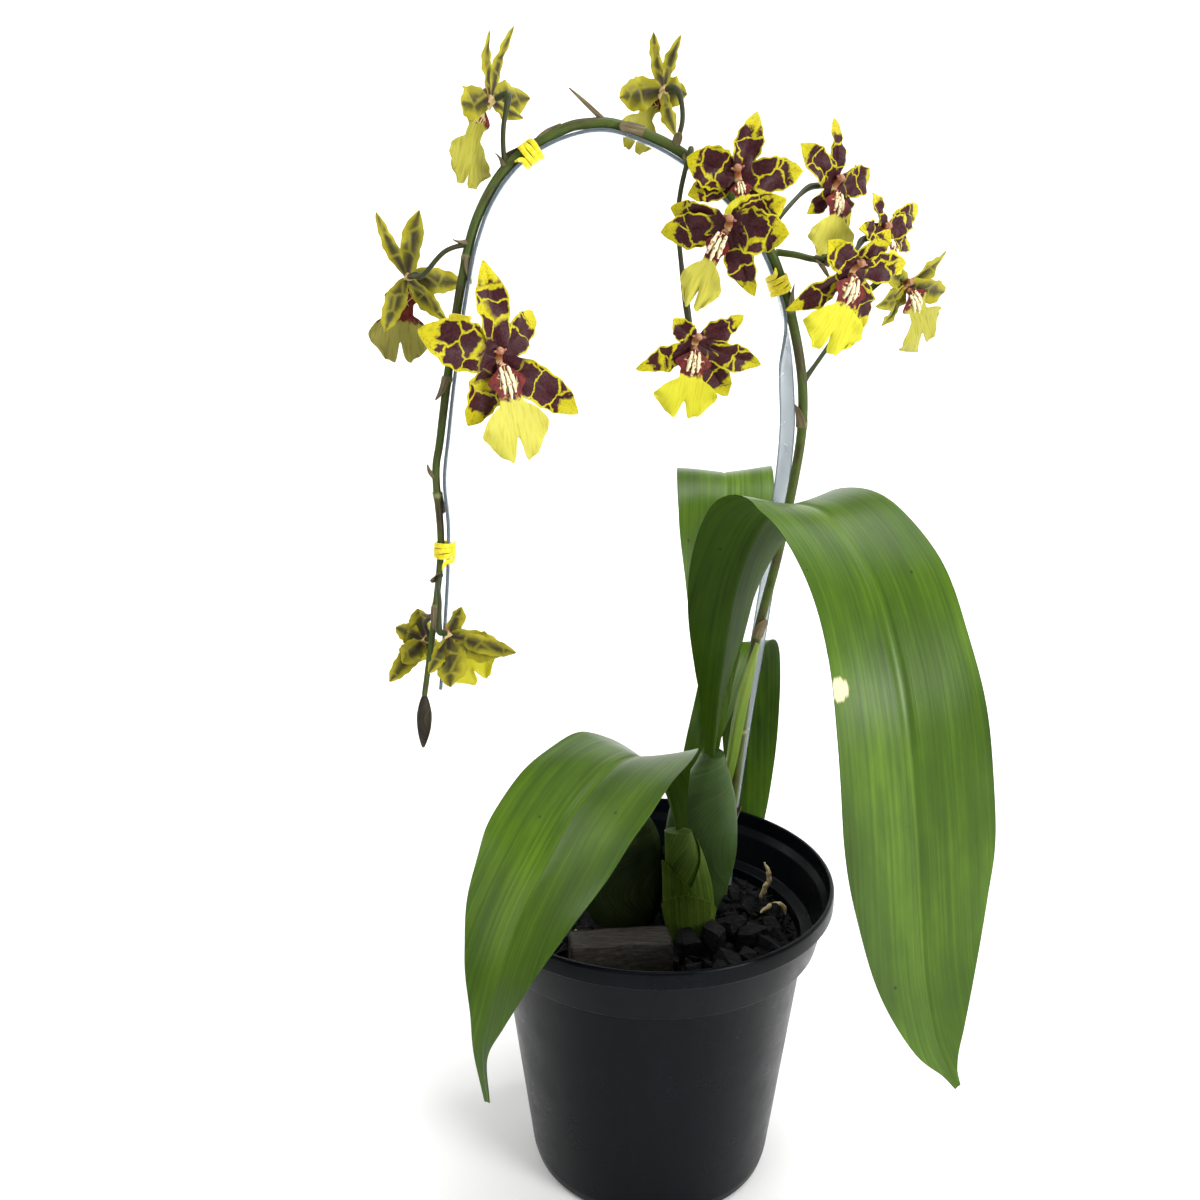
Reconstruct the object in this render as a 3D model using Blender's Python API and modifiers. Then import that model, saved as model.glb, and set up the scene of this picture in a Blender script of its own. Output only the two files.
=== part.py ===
# Potted oncidium orchid: a black nursery pot of charcoal, three shoots with four strap leaves,
# and one long flower stem that arches over, tied to a bent strip, with thirteen open blooms.
# Frame: metres, +Z up, origin at the middle of the pot's underside, -Y towards the viewer.
# Sizes and places below are in millimetres, and MM turns them into metres.

import math
import random

import bmesh
import bpy
import numpy as np
from mathutils import Matrix, Vector

MM = 0.001
GAP = 0.3  # clearance between pieces that touch
BLADE = 0.8  # thickness of leaves and petals
SEED = 7

# Pot
POT_HEIGHT = 129
RIM_RADIUS = 75
FOOT_RADIUS = 50
POT_SIDES = 28
WALL = 1.6
FLOOR = 1.8
DRAIN_HOLES = 6
DRAIN_RADIUS = 4
DRAIN_RING = 34

# Charcoal
BED_TOP = 103
BED_RADIUS = 61.8
CHUNKS = 16
CHUNK_RING = 52
HEAP = ((15.5, -20, 6), (24.5, -17.5, 7.5), (31.5, -10, 6))  # lumps banked up against the new shoot
BLOCK_SIZE = (42, 15, 14)
BLOCK_PLACE = (-14, -31, BED_TOP + GAP + 7)
BLOCK_TURN = 6

# Rows of a bulb: x, y, z, half width, half depth
MAIN_BULB = (
    (19, 9, 96, 6, 5.5), (19.3, 9, 106, 8.5, 7), (20, 9, 118, 12.6, 8.8), (20.5, 9, 132, 15, 9.9),
    (20.8, 9.2, 146, 15, 9.9), (21.8, 9.6, 158, 13.2, 8.8), (23.2, 10, 167, 9.6, 7.4),
    (24.4, 10.4, 174, 6.4, 6.4), (25, 11, 178.4, 4.8, 6.4),
)
OLD_BULB = (
    (-12, 9, 96, 9, 6), (-12, 9, 106, 14.6, 8.5), (-12, 9, 118, 17, 9.6), (-11, 9, 130, 15.6, 9),
    (-8.8, 8.5, 140, 12, 7.5), (-6, 8, 147, 7, 5), (-4.6, 8, 151, 3.4, 3),
)
NEW_SHOOT = (
    (15.5, -8.6, 96, 6, 4.4), (15.5, -8.6, 105, 8, 5.2), (15, -8.6, 115, 9.6, 5.8),
    (14.2, -8.6, 127, 9.4, 5.7), (12.6, -8.6, 139, 7.8, 4.9), (10.8, -8.6, 147, 6.2, 4.1),
    (9.8, -8.6, 152.6, 5.4, 3.4),
)
BUD = (
    (-91.8, -5, 209.4, 1.1, 1.1), (-92, -5, 206, 2.2, 2.2), (-92.2, -5, 201, 3, 3),
    (-92.5, -5, 195, 2.6, 2.6), (-92.9, -5, 190, 1.4, 1.4), (-93.1, -5, 187.5, 0.5, 0.5),
)

# Rows of a leaf's midrib: x, y, z, heading of its width, half width, fold. Angles in degrees
LEAVES = {
    "leaf_right": (
        (24.8, 6.6, 178.8, 22, 4.6, 58), (25.5, 1.6, 202, 22, 7.4, 44), (26, -5, 220, 24, 11, 34),
        (28, -14, 249, 26, 17, 26), (32.5, -20.5, 271, 26, 21, 18), (40, -26, 287, 24, 24.5, 10),
        (50, -34, 292, 24, 26, 6), (60, -46, 288, 23, 26.5, 7), (70, -62, 272, 19, 27, 9),
        (75.8, -75, 250, 16, 27, 10), (79.8, -83, 226, 14, 27.3, 10), (84.2, -87, 190, 12, 27.3, 9),
        (87, -88, 164, 10, 24, 8), (90.5, -88, 136, 8, 17.8, 9), (96, -88, 112, 8, 10, 14),
        (101.5, -88, 99, 14, 3.6, 22), (105, -89, 92.5, 20, 1.4, 20),
    ),
    "leaf_back": (
        (25.2, 15.6, 178.8, 180, 4.6, 56), (25.8, 21, 197, 180, 8, 42), (27, 31, 220, 180, 12.6, 34),
        (29, 40, 245, 180, 17, 26), (30.5, 47, 264, 180, 20, 18), (32, 56, 279, 180, 21, 12),
        (33, 70, 286, 180, 21, 8), (34, 88, 281, 178, 21, 7), (35, 106, 262, 176, 20, 8),
        (36, 118, 238, 174, 18, 10), (37, 125, 212, 172, 14, 12), (38, 128, 188, 170, 8, 14),
        (39, 128, 168, 170, 1.4, 14),
    ),
    "leaf_back_low": (
        (11, 29, 97, 150, 3.4, 50), (14, 30, 130, 152, 5, 46), (20, 33, 160, 154, 7.5, 38),
        (30, 42, 190, 157, 10.5, 28), (38, 56, 208, 157, 13, 16), (45, 72, 207, 158, 14.5, 9),
        (49, 88, 186, 160, 15, 9), (51, 96, 152, 162, 14, 10), (52, 99, 118, 162, 10.5, 12),
        (53, 100, 92, 162, 5.5, 14), (53.5, 100, 74, 162, 1.3, 14),
    ),
    "leaf_front_left": (
        (9.5, -8.2, 153, -30, 4.8, 52), (7.4, -9.4, 165, -30, 6.4, 44), (4, -13, 176.5, -28, 11, 34),
        (-2.4, -19.6, 187.4, -25, 20, 22), (-8.6, -28, 193, -24, 26.4, 11), (-19, -41.5, 192.6, -27, 28, 6),
        (-31, -57.6, 184, -31, 28.5, 7), (-41, -72.6, 171.4, -34, 27, 8), (-49.6, -82.6, 157, -36, 22.8, 9),
        (-56, -90.4, 141, -36, 15.5, 11), (-60, -94, 125, -34, 8, 13), (-63, -95, 110, -30, 3, 18),
        (-61.5, -95, 91, -30, 1.2, 16),
    ),
    "sheath_leaf": (
        (23, 22.6, 97, -40, 2.4, 30), (24.4, 22.4, 125, -42, 2.8, 32), (28.6, 20, 150, -46, 3.2, 34),
        (32.4, 16.4, 172, -48, 3.4, 34), (34.4, 13.6, 190, -44, 3.6, 32), (37.6, 12.2, 208, -42, 3, 30),
        (42, 11.6, 226, -40, 1, 24),
    ),
}
LEAF_ROWS = {"leaf_right": 20, "leaf_back": 16, "leaf_back_low": 14, "leaf_front_left": 15, "sheath_leaf": 8}
LEAF_COLUMNS = {"leaf_right": 6, "leaf_back": 4, "leaf_back_low": 4, "leaf_front_left": 6, "sheath_leaf": 2}

# Flower stem: x, y, z
STEM_RADIUS = 1.9
STEM_TIP_RADIUS = 1.15
STEM = (
    (32.2, 22.6, 97), (33, 22.6, 120), (35.4, 22, 150), (38.2, 20.4, 185), (40, 18.4, 208), (43, 16, 231),
    (48.9, 13.6, 260.6), (53.4, 13, 287), (56.3, 13, 308.7), (56.3, 12, 324.3), (54.3, 11, 339.5),
    (49.6, 10, 358), (44.4, 9, 372.6), (38.6, 8, 383.6), (30, 7, 394.5), (19.8, 6, 404.2), (4, 6, 415.6),
    (-14.8, 5, 422.6), (-25.6, 4, 423.2), (-36.3, 3, 420.6), (-54.2, 1, 409.4), (-66, -1, 391.4),
    (-72.2, -3, 369.1), (-77.3, -5, 340.6), (-82, -5, 311.1), (-84, -5, 297.9), (-83.1, -5, 270.8),
    (-86.8, -5, 240.8), (-91.7, -5, 209.8),
)
STEM_POINTS = 36
BRANCH = ((43.6, 9, 379), (50, 5, 378), (56, 2, 376.5), (60, -2, 376.6))
DRY_STALKS = (
    ((-19, 4.8, 422.8), (-26, 4, 429), (-33, 4, 435)),
    ((-46, 2, 415.6), (-42, 2, 419.6), (-36, 2.6, 423)),
    ((58, 3, 376.6), (61, 2.6, 372), (63, 2.4, 369)),
    ((-83.6, -5, 296), (-86, -6, 299), (-87, -6, 302)),
)
PEDICEL_RADIUS = 0.9
OVARY_RADIUS = 1.5

# Support strip: its own route up to the stem, then along the inner side of the stem
STRIP_WIDTH = 6
STRIP_THICKNESS = 2
STRIP_OFFSET = STEM_RADIUS + STRIP_THICKNESS / 2 + 0.5
STRIP_LEG = (
    (34, 29.6, 70, 90), (34.2, 29.4, 120, 90), (36.4, 28.2, 153, 90), (40, 25.6, 190, 90),
    (43.4, 22.6, 221, 90), (47, 20, 255, 90), (50.2, 18.4, 288, 90), (51.4, 17.4, 308, 90),
    (51, 16.4, 324, 88), (49.4, 14.8, 338, 62),
)
STRIP_JOINS = 354  # height where it meets the stem
STRIP_END = 213  # height of its cut end
STRIP_PARTS = 262  # height below which it draws away from the stem
STRIP_SLOPE = 0.055  # how fast it does so

# Ties of yellow wire: x and z where each one wraps the stem and the strip
TIES = {"tie_1": (46, 368.5), "tie_2": (-48, 414), "tie_3": (-75, 353), "tie_4": (-83.3, 268)}
TIE_RADIUS = 0.6
TIE_LOOP = 5.5  # radius of the loop
TIE_SHIFT = 1.55  # from the stem's middle to the loop's middle
TIE_STEPS = 7  # sides of one turn
TIE_TURNS = 3.2
TIE_PITCH = 2  # from one turn to the next

# Thick pale roots that stand in the charcoal: x, y, z
ROOTS = {
    "root_1": ((50.5, 28, 98), (50.8, 28, 104), (53.6, 29, 111), (51.5, 30, 118)),
    "root_2": ((58, 14, 98), (57.4, 14, 105.6), (52, 11, 107.4), (47, 8, 105.6)),
    "root_3": ((-33, -13, 98), (-33.4, -13.4, 105), (-32, -14, 110.5)),
}
ROOT_RADIUS = 1.4

# Blooms: centre, facing (right, up, in degrees from the viewer), the five outer pieces with the back
# sepal first, each as its tip from the centre and its width, then the lip's tip, and the pedicel's way
BLOOMS = {
    "a": ((-61, 4, 431), (-125, -5),
          ((8, 11, 26, 3.8), (13, 19, 3, 11), (0, 2, 23, 3.8), (11, 10, -5, 4.6), (-9, -13, -3, 10)),
          (-7, -5, -30), ((-56, 0.8, 408), (-56.4, -1, 415), (-56, -2, 422))),
    "b": ((1, 15, 436), (-150, 5),
          ((-4, -6, 18, 4.4), (-16, -9, -4, 10), (6, -1, 18, 4.2), (5, 1, -16, 5), (9, 5, -1, 9)),
          (-10, 1, -22), ((5, 6, 415), (7.6, 6, 424), (7, 7.6, 432))),
    "c": ((-94, 9, 370), (-150, -5),
          ((5, 3, 24, 7.5), (20, 12, -2, 8.5), (-10, -3, 23, 4.6), (14, 2, -16, 6), (-7, -13, -19, 7)),
          (-3, 1, -32), ((-69.4, -2, 382), (-78, -5, 379), (-86, -4, 371))),
    "d": ((-58, -22, 342), (28, 0),
          ((-5, 4, 34, 10.5), (-27, -8, 10.5, 15), (11, 21, 16, 10), (-11, -4, -23, 11.5),
           (28, 9, -20, 11.5)),
          (7, -4, -36), ((-77.4, -5, 341), (-77, -10, 341), (-71, -12.6, 340.4))),
    "e": ((26, -12, 404), (5, -10),
          ((6, -1, 21, 8.5), (-18, -3, 6, 12.5), (23, 2, 2, 10.5), (-17, 3, -6, 8.5), (14, 7, -13, 8.5)),
          (3, -2, -16), ((12, 6, 409.4), (18, 1, 411), (24, -1, 408))),
    "f": ((21, -36, 387), (-25, -15),
          ((-19, 9, 6, 9), (-22, 11, -2, 10), (18, -6, 8, 10), (10, 6, -23, 8.5), (19, -8, -3, 13)),
          (-11, 7, -27), ((39, 8, 383), (36, -6, 380), (30, -22, 383))),
    "g": ((66, 22, 403), (35, -5),
          ((-1, 0, 24, 6.5), (-15, -12, 14, 9.5), (17, 17, 5, 10), (-10, -3, -10, 6.5), (9, 13, -14, 6.5)),
          (-4, -4, -27), ((38.6, 8, 383.6), (46, 12, 393), (56, 25, 402))),
    "h": ((66, -22, 373), (22, -20),
          ((12, 0, 13, 8), (-11, -10, 9, 9), (20, 7, 2, 9), (-23, -1, -14, 8), (8, 17, -21, 8)),
          (-11, 0, -28), ((57, 1, 376.5), (60, -2, 376.6), (63, -8, 376.6))),
    "i": ((83, 12, 385), (50, 10),
          ((-5, -3, 15, 7), (11, 10, 7, 8), (18, 22, 12, 8), (15, 17, -4, 7), (-11, -12, 2, 7)),
          (2, -6, -15), ((59, -1, 376.6), (66, 1.6, 377), (73, 9, 380))),
    "j": ((98, 34, 367), (50, -25),
          ((-14, -20, 8, 7), (19, 13, 13, 7), (-13, -10, -8, 8), (22, 22, -3, 9), (-7, 4, -16, 7)),
          (11, 16, -24), ((56, 12, 331), (67, 22, 344), (80, 36, 360))),
    "k": ((12, -16, 348), (10, -25),
          ((-8, -4, 8, 7), (17, -1, 9, 8), (-21, 1, -10, 8), (25, 9, -9, 9), (14, 17, -21, 9)),
          (-5, 6, -27), ((10.8, 6, 411.6), (10, -2, 413), (6, -4, 390))),
    "l": ((-80, -16, 238), (158, -30),
          ((5, 4, 10, 6), (22, -11, -4, 10), (2, -14, -16, 11), (27, -16, -2, 6), (-7, -7, -13, 6)),
          (12, 0, -20), ((-84, -5, 259), (-84, -11, 257), (-82.6, -18, 251))),
    "m": ((-92, 4, 230), (-155, -20),
          ((-11, -3, 6, 7), (-3, 3, 12, 8), (-13, -11, -14, 7), (6, 2, -8, 7), (-8, -8, -7, 8)),
          (-7, 6, -13), ((-86.6, -5, 242), (-89, -4, 241), (-91, -2, 238))),
}
LIP_WIDTH = 26
LIP_NOTCH = 0.17  # depth of the notch, as a share of the lip
LIP_ROUND = 0.22  # how far the corners of the front lobe draw back
CORE_RADIUS = 2.4
COLUMN_LENGTH = 7
LIP_HEIGHT = 3  # how far the lip starts in front of the core

COLOURS = {
    "pot": (0.012, 0.014, 0.018), "charcoal": (0.02, 0.02, 0.022), "block": (0.09, 0.085, 0.08),
    "bulb": (0.12, 0.17, 0.05), "shoot": (0.2, 0.3, 0.05), "leaf": (0.07, 0.22, 0.03),
    "stem": (0.11, 0.15, 0.05), "bud": (0.05, 0.05, 0.03), "strip": (0.6, 0.68, 0.72),
    "wire": (0.85, 0.7, 0.01), "root": (0.6, 0.5, 0.3), "petal": (0.13, 0.02, 0.02), "lip": (0.75, 0.7, 0.08),
}


def clear_scene():
    for obj in list(bpy.data.objects):
        bpy.data.objects.remove(obj, do_unlink=True)


def new_collection(name):
    group = bpy.data.collections.new(name)
    bpy.context.scene.collection.children.link(group)
    return group


def material(kind, roughness=0.5):
    found = bpy.data.materials.get(kind)
    if found:
        return found
    made = bpy.data.materials.new(kind)
    made.use_nodes = True
    shader = made.node_tree.nodes["Principled BSDF"]
    shader.inputs["Base Color"].default_value = (*COLOURS[kind], 1)
    shader.inputs["Roughness"].default_value = roughness
    shader.inputs["Metallic"].default_value = 0
    return made


def add_mesh(name, bm, group, kind=None, roughness=0.5):
    """Turns a bmesh in millimetres into an object in metres."""
    bmesh.ops.scale(bm, vec=(MM, MM, MM), verts=bm.verts)
    mesh = bpy.data.meshes.new(name)
    bm.to_mesh(mesh)
    bm.free()
    obj = bpy.data.objects.new(name, mesh)
    group.objects.link(obj)
    if kind:
        mesh.materials.append(material(kind, roughness))
    return obj


def bake(obj):
    """Applies an object's modifiers to its mesh."""
    bpy.context.view_layer.update()
    graph = bpy.context.evaluated_depsgraph_get()
    mesh = bpy.data.meshes.new_from_object(obj.evaluated_get(graph))
    obj.modifiers.clear()
    obj.data = mesh
    return obj


def combine(obj, others, operation):
    """Joins or cuts an object with a list of others in one Boolean, then removes them."""
    helpers = new_collection("helpers")
    for other in others:
        for owner in list(other.users_collection):
            owner.objects.unlink(other)
        helpers.objects.link(other)
        other.hide_render = True
        other.display_type = "WIRE"
    boolean = obj.modifiers.new("combine", "BOOLEAN")
    boolean.operation = operation
    boolean.operand_type = "COLLECTION"
    boolean.collection = helpers
    boolean.solver = "EXACT"
    bake(obj)
    for other in others:
        bpy.data.objects.remove(other, do_unlink=True)
    bpy.data.collections.remove(helpers)
    keep_largest(obj)
    return obj


def keep_largest(obj):
    """Drops scraps and sealed specks that a Boolean leaves, and keeps the one large body."""
    bm = bmesh.new()
    bm.from_mesh(obj.data)
    left = set(bm.verts)
    islands = []
    while left:
        found = [left.pop()]
        island = set()
        while found:
            vert = found.pop()
            island.add(vert)
            for link in vert.link_edges:
                other = link.other_vert(vert)
                if other in left:
                    left.remove(other)
                    found.append(other)
        islands.append(island)
    islands.sort(key=len)
    scraps = [vert for island in islands[:-1] for vert in island]
    bmesh.ops.delete(bm, geom=scraps, context="VERTS")
    bm.to_mesh(obj.data)
    bm.free()


def smooth(obj, angle=40):
    obj.data.shade_smooth()
    obj.data.set_sharp_from_angle(angle=math.radians(angle))
    return obj


def spline(rows, count):
    """Points at even steps on a smooth curve through the rows; columns after the third follow along."""
    rows = np.array(rows, float)
    ends = np.vstack([2 * rows[0] - rows[1], rows, 2 * rows[-1] - rows[-2]])
    fine = []
    for i in range(1, len(ends) - 2):
        p0, p1, p2, p3 = ends[i - 1:i + 3]
        for t in np.linspace(0, 1, 12, endpoint=False):
            fine.append(0.5 * (2 * p1 + (p2 - p0) * t + (2 * p0 - 5 * p1 + 4 * p2 - p3) * t * t
                               + (3 * p1 - p0 - 3 * p2 + p3) * t ** 3))
    fine = np.array(fine + [rows[-1]])
    run = np.concatenate([[0], np.cumsum(np.linalg.norm(np.diff(fine[:, :3], axis=0), axis=1))])
    marks = np.linspace(0, run[-1], count)
    return np.column_stack([np.interp(marks, run, column) for column in fine.T])


def directions(points):
    """Unit direction of travel at each point."""
    ways = np.gradient(points[:, :3], axis=0)
    return ways / np.linalg.norm(ways, axis=1)[:, None]


def loft(rings):
    """Closed skin over rings of points, with flat ends."""
    bm = bmesh.new()
    loops = [[bm.verts.new(point) for point in ring] for ring in rings]
    sides = len(rings[0])
    for lower, upper in zip(loops, loops[1:]):
        for i in range(sides):
            j = (i + 1) % sides
            bm.faces.new((lower[i], lower[j], upper[j], upper[i]))
    bm.faces.new(list(reversed(loops[0])))
    bm.faces.new(loops[-1])
    bmesh.ops.recalc_face_normals(bm, faces=bm.faces)
    return bm


def tube(name, rows, radii, group, kind=None, bevel_steps=1):
    """Round wire or stalk along points, as a curve with a bevel that is then made a mesh."""
    curve = bpy.data.curves.new(name, "CURVE")
    curve.dimensions = "3D"
    curve.bevel_depth = MM
    curve.bevel_resolution = bevel_steps
    curve.use_fill_caps = True
    line = curve.splines.new("POLY")
    line.points.add(len(rows) - 1)
    for point, row, radius in zip(line.points, rows, radii):
        point.co = (*(Vector(row[:3]) * MM), 1)
        point.radius = radius
    holder = bpy.data.objects.new(name + "_curve", curve)
    group.objects.link(holder)
    bpy.context.view_layer.update()
    graph = bpy.context.evaluated_depsgraph_get()
    mesh = bpy.data.meshes.new_from_object(holder.evaluated_get(graph))
    bm = bmesh.new()
    bm.from_mesh(mesh)
    bmesh.ops.remove_doubles(bm, verts=bm.verts, dist=1e-6)
    bmesh.ops.recalc_face_normals(bm, faces=bm.faces)
    bm.to_mesh(mesh)
    bm.free()
    obj = bpy.data.objects.new(name, mesh)
    obj.matrix_world = holder.matrix_world
    group.objects.link(obj)
    bpy.data.objects.remove(holder, do_unlink=True)
    mesh.materials.clear()
    if kind:
        mesh.materials.append(material(kind))
    return obj


def turned(name, profile, group, kind, roughness=0.5):
    """Turned piece from a profile of radius and height that runs down its outer side."""
    bm = bmesh.new()
    verts = [bm.verts.new((radius, 0, height)) for radius, height in profile]
    for upper, lower in zip(verts, verts[1:]):
        bm.edges.new((upper, lower))
    obj = add_mesh(name, bm, group, kind, roughness)
    screw = obj.modifiers.new("turn", "SCREW")
    screw.steps = POT_SIDES
    screw.render_steps = POT_SIDES
    screw.use_merge_vertices = True
    screw.merge_threshold = 0.00002
    return bake(obj)


def upright(name, x, y, low, high, radius, group, sides=12):
    """Plain round peg, used as a cutter."""
    bm = bmesh.new()
    place = Matrix.Translation((x, y, (low + high) / 2))
    bmesh.ops.create_cone(bm, cap_ends=True, segments=sides, radius1=radius, radius2=radius,
                          depth=high - low, matrix=place)
    return add_mesh(name, bm, group)


def build_pot(parts):
    lip_under = POT_HEIGHT - 7.6
    step = POT_HEIGHT - 23.5
    profile = [
        (0, FLOOR), (FOOT_RADIUS - 2.2, FLOOR), (FOOT_RADIUS, 4.6), (62.3, step + 0.6), (67, step + 2),
        (70.4, POT_HEIGHT - 9.5), (72.8, POT_HEIGHT - 6.4), (73.2, POT_HEIGHT),
        (RIM_RADIUS - 0.5, POT_HEIGHT), (RIM_RADIUS, POT_HEIGHT - 1), (RIM_RADIUS, lip_under + 0.6),
        (72.2, lip_under - 0.9), (68.8, step), (64, step - 0.7), (FOOT_RADIUS + 1.5, 5.4),
        (FOOT_RADIUS + 0.4, 1.4), (FOOT_RADIUS - 1.2, 0), (0, 0),
    ]
    pot = turned("pot", profile, parts, "pot", 0.4)
    drills = []
    for i in range(DRAIN_HOLES):
        angle = 2 * math.pi * (i + 0.37) / DRAIN_HOLES
        x, y = DRAIN_RING * math.cos(angle), DRAIN_RING * math.sin(angle)
        drills.append(upright("drill", x, y, -4, FLOOR + 4, DRAIN_RADIUS, parts, 6))
    return smooth(combine(pot, drills, "DIFFERENCE"), 30)


def chunk_places(rng):
    """Spots for lumps of charcoal, clear of the block and of all that stands in the bed."""
    standing = [(19, 9, 19), (-12, 9, 21), (15.5, -12, 21), (32.2, 22.6, 11), (34, 29.6, 12), (11, 29, 12),
                (23, 22.6, 11), (50.5, 28, 9), (57, 13, 13), (48, 8, 10), (-33, -13, 9),
                (-30, -31, 18), (-14, -31, 20), (2, -31, 18)]
    places = []
    while len(places) < CHUNKS:
        angle = rng.uniform(0, 2 * math.pi)
        distance = CHUNK_RING * math.sqrt(rng.uniform(0.04, 1))
        x, y = distance * math.cos(angle), distance * math.sin(angle)
        clear = all(math.hypot(x - a, y - b) > reach for a, b, reach in standing)
        apart = all(math.hypot(x - a, y - b) > 9 for a, b in places)
        if clear and apart:
            places.append((x, y))
    return places


def lump(name, size, place, turn, group, rng, kind=None):
    """Broken lump of charcoal: a box with its corners moved."""
    bm = bmesh.new()
    bmesh.ops.create_cube(bm, size=1)
    for vert in bm.verts:
        for axis in range(3):
            vert.co[axis] *= size[axis] * rng.uniform(0.72, 1.12)
    bmesh.ops.rotate(bm, verts=bm.verts, matrix=turn)
    bmesh.ops.translate(bm, verts=bm.verts, vec=place)
    bmesh.ops.triangulate(bm, faces=bm.faces)
    return add_mesh(name, bm, group, kind, 0.9)


def build_charcoal(parts):
    rng = random.Random(SEED)
    floor = FLOOR + GAP
    side = [(BED_RADIUS, BED_TOP), (FOOT_RADIUS - 0.4, 4.9), (FOOT_RADIUS - 2.3, floor)]
    profile = [(0, BED_TOP), *side, (0, floor)]
    bed = turned("charcoal_bed", profile, parts, "charcoal", 0.9)
    lumps = []
    for x, y in chunk_places(rng):
        size = (rng.uniform(9, 16), rng.uniform(8, 13), rng.uniform(9, 14))
        turn = Matrix.Rotation(rng.uniform(0, math.pi), 3, "Z")
        turn = turn @ Matrix.Rotation(rng.uniform(-0.5, 0.5), 3, "X")
        lumps.append(lump("lump", size, (x, y, BED_TOP + rng.uniform(-0.5, 3)), turn, parts, rng))
    for x, y, rise in HEAP:
        turn = Matrix.Rotation(rng.uniform(0, math.pi), 3, "Z")
        lumps.append(lump("lump", (13, 10, 14), (x, y, BED_TOP + rise - 3), turn, parts, rng))
    combine(bed, lumps, "UNION")
    combine(bed, hole_cutters(parts), "DIFFERENCE")
    build_block(parts, rng)


def hole_cutters(parts):
    """Pegs that clear the bed where each piece stands in it."""
    holes = [
        (MAIN_BULB[0], 10.5), (OLD_BULB[0], 17.6), (NEW_SHOOT[0], 9.6), (LEAVES["leaf_back_low"][0], 4.6),
        (LEAVES["sheath_leaf"][0], 3.1), (STEM[0], STEM_RADIUS + 0.25), (STRIP_LEG[0], 4),
    ]
    holes += [(rows[0], ROOT_RADIUS + 0.5) for rows in ROOTS.values()]
    return [upright("hole", row[0], row[1], row[2] - GAP, 130, radius, parts) for row, radius in holes]


def build_block(parts, rng):
    """Sawn block of charcoal on the bed, with its top corners a little worn in."""
    turn = Matrix.Rotation(math.radians(BLOCK_TURN), 3, "Z")
    bm = bmesh.new()
    bmesh.ops.create_cube(bm, size=1)
    for vert in bm.verts:
        stretch = rng.uniform(0.92, 1.04) if vert.co.z > 0 else 1
        vert.co.x *= BLOCK_SIZE[0] * stretch
        vert.co.y *= BLOCK_SIZE[1] * stretch
        vert.co.z *= BLOCK_SIZE[2] * (stretch if vert.co.z > 0 else 1)
    bmesh.ops.rotate(bm, verts=bm.verts, matrix=turn)
    bmesh.ops.translate(bm, verts=bm.verts, vec=BLOCK_PLACE)
    bmesh.ops.triangulate(bm, faces=bm.faces)
    add_mesh("charcoal_block", bm, parts, "block", 0.9)


def bulb(name, rows, group, kind, sides=16, count=12, ridge=0.0, ridges=9):
    """Upright swollen stem from rows of centre and half sizes, with shallow lengthwise ridges."""
    rings = []
    for x, y, z, wide, deep in spline(rows, count):
        ring = []
        for i in range(sides):
            angle = 2 * math.pi * i / sides
            swell = 1 + ridge * math.cos(ridges * angle)
            ring.append((x + wide * swell * math.cos(angle), y + deep * swell * math.sin(angle), z))
        rings.append(ring)
    return smooth(add_mesh(name, loft(rings), group, kind), 60)


def leaf(name, group):
    """Strap leaf: a grid bent along its midrib, folded to a channel, with slow waves at its edges."""
    rows, columns = LEAF_ROWS[name], LEAF_COLUMNS[name]
    line = spline(LEAVES[name], rows + 1)
    ways = directions(line)
    bm = bmesh.new()
    bmesh.ops.create_grid(bm, x_segments=rows, y_segments=columns, size=1)
    for vert in bm.verts:
        u, v = (vert.co.x + 1) / 2, vert.co.y
        i = round(u * rows)
        heading, half, fold = line[i][3:6]
        across = np.array([math.cos(math.radians(heading)), math.sin(math.radians(heading)), 0])
        across -= ways[i] * float(across @ ways[i])
        across /= np.linalg.norm(across)
        above = np.cross(ways[i], across)
        rise = abs(v) * math.sin(math.radians(fold))
        wave = 0.03 * math.sin(2 * math.pi * 3 * u + 2 * v) * abs(v) ** 3
        out = v * math.cos(math.radians(fold))
        vert.co = line[i][:3] + half * (across * out + above * (rise + wave))
    bmesh.ops.triangulate(bm, faces=bm.faces)
    kind = "shoot" if name == "sheath_leaf" else "leaf"
    return smooth(thickened(name, bm, group, kind), 60)


def thickened(name, bm, group, kind=None):
    obj = add_mesh(name, bm, group, kind)
    shell = obj.modifiers.new("thickness", "SOLIDIFY")
    shell.thickness = BLADE * MM
    shell.offset = 0
    return bake(obj)


def build_stem(parts):
    line = spline(STEM, STEM_POINTS)
    taper_from = int(STEM_POINTS * 0.66)
    radii = [float(np.interp(i, (taper_from, STEM_POINTS - 1), (STEM_RADIUS, STEM_TIP_RADIUS)))
             for i in range(STEM_POINTS)]
    stem = tube("flower_stem", line, radii, parts, "stem", 1)
    stalks = [tube("stalk", spline(BRANCH, 6), [1.3] * 6, parts)]
    for rows in DRY_STALKS:
        stalks.append(tube("stalk", spline(rows, 4), [1.1, 1.0, 0.7, 0.35], parts, bevel_steps=0))
    for centre, facing, _pieces, _lip, way in BLOOMS.values():
        centre, normal = np.array(centre, float), facing_vector(facing)
        points = [*way, centre - normal * 8, centre - normal * (CORE_RADIUS + GAP)]
        rows = spline(points, 6)
        sizes = [PEDICEL_RADIUS] * 3 + [OVARY_RADIUS * 0.9, OVARY_RADIUS, OVARY_RADIUS * 0.8]
        stalks.append(tube("stalk", rows, sizes, parts, bevel_steps=0))
    combine(stem, stalks, "UNION")
    stem.data.materials.clear()
    stem.data.materials.append(material("stem"))
    return smooth(stem)


def stem_place(x, z):
    """The stem's point and direction nearest to a place seen from the front."""
    line = spline(STEM, 400)
    i = int(np.argmin(np.hypot(line[:, 0] - x, line[:, 2] - z)))
    return line[i], directions(line)[i]


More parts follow.
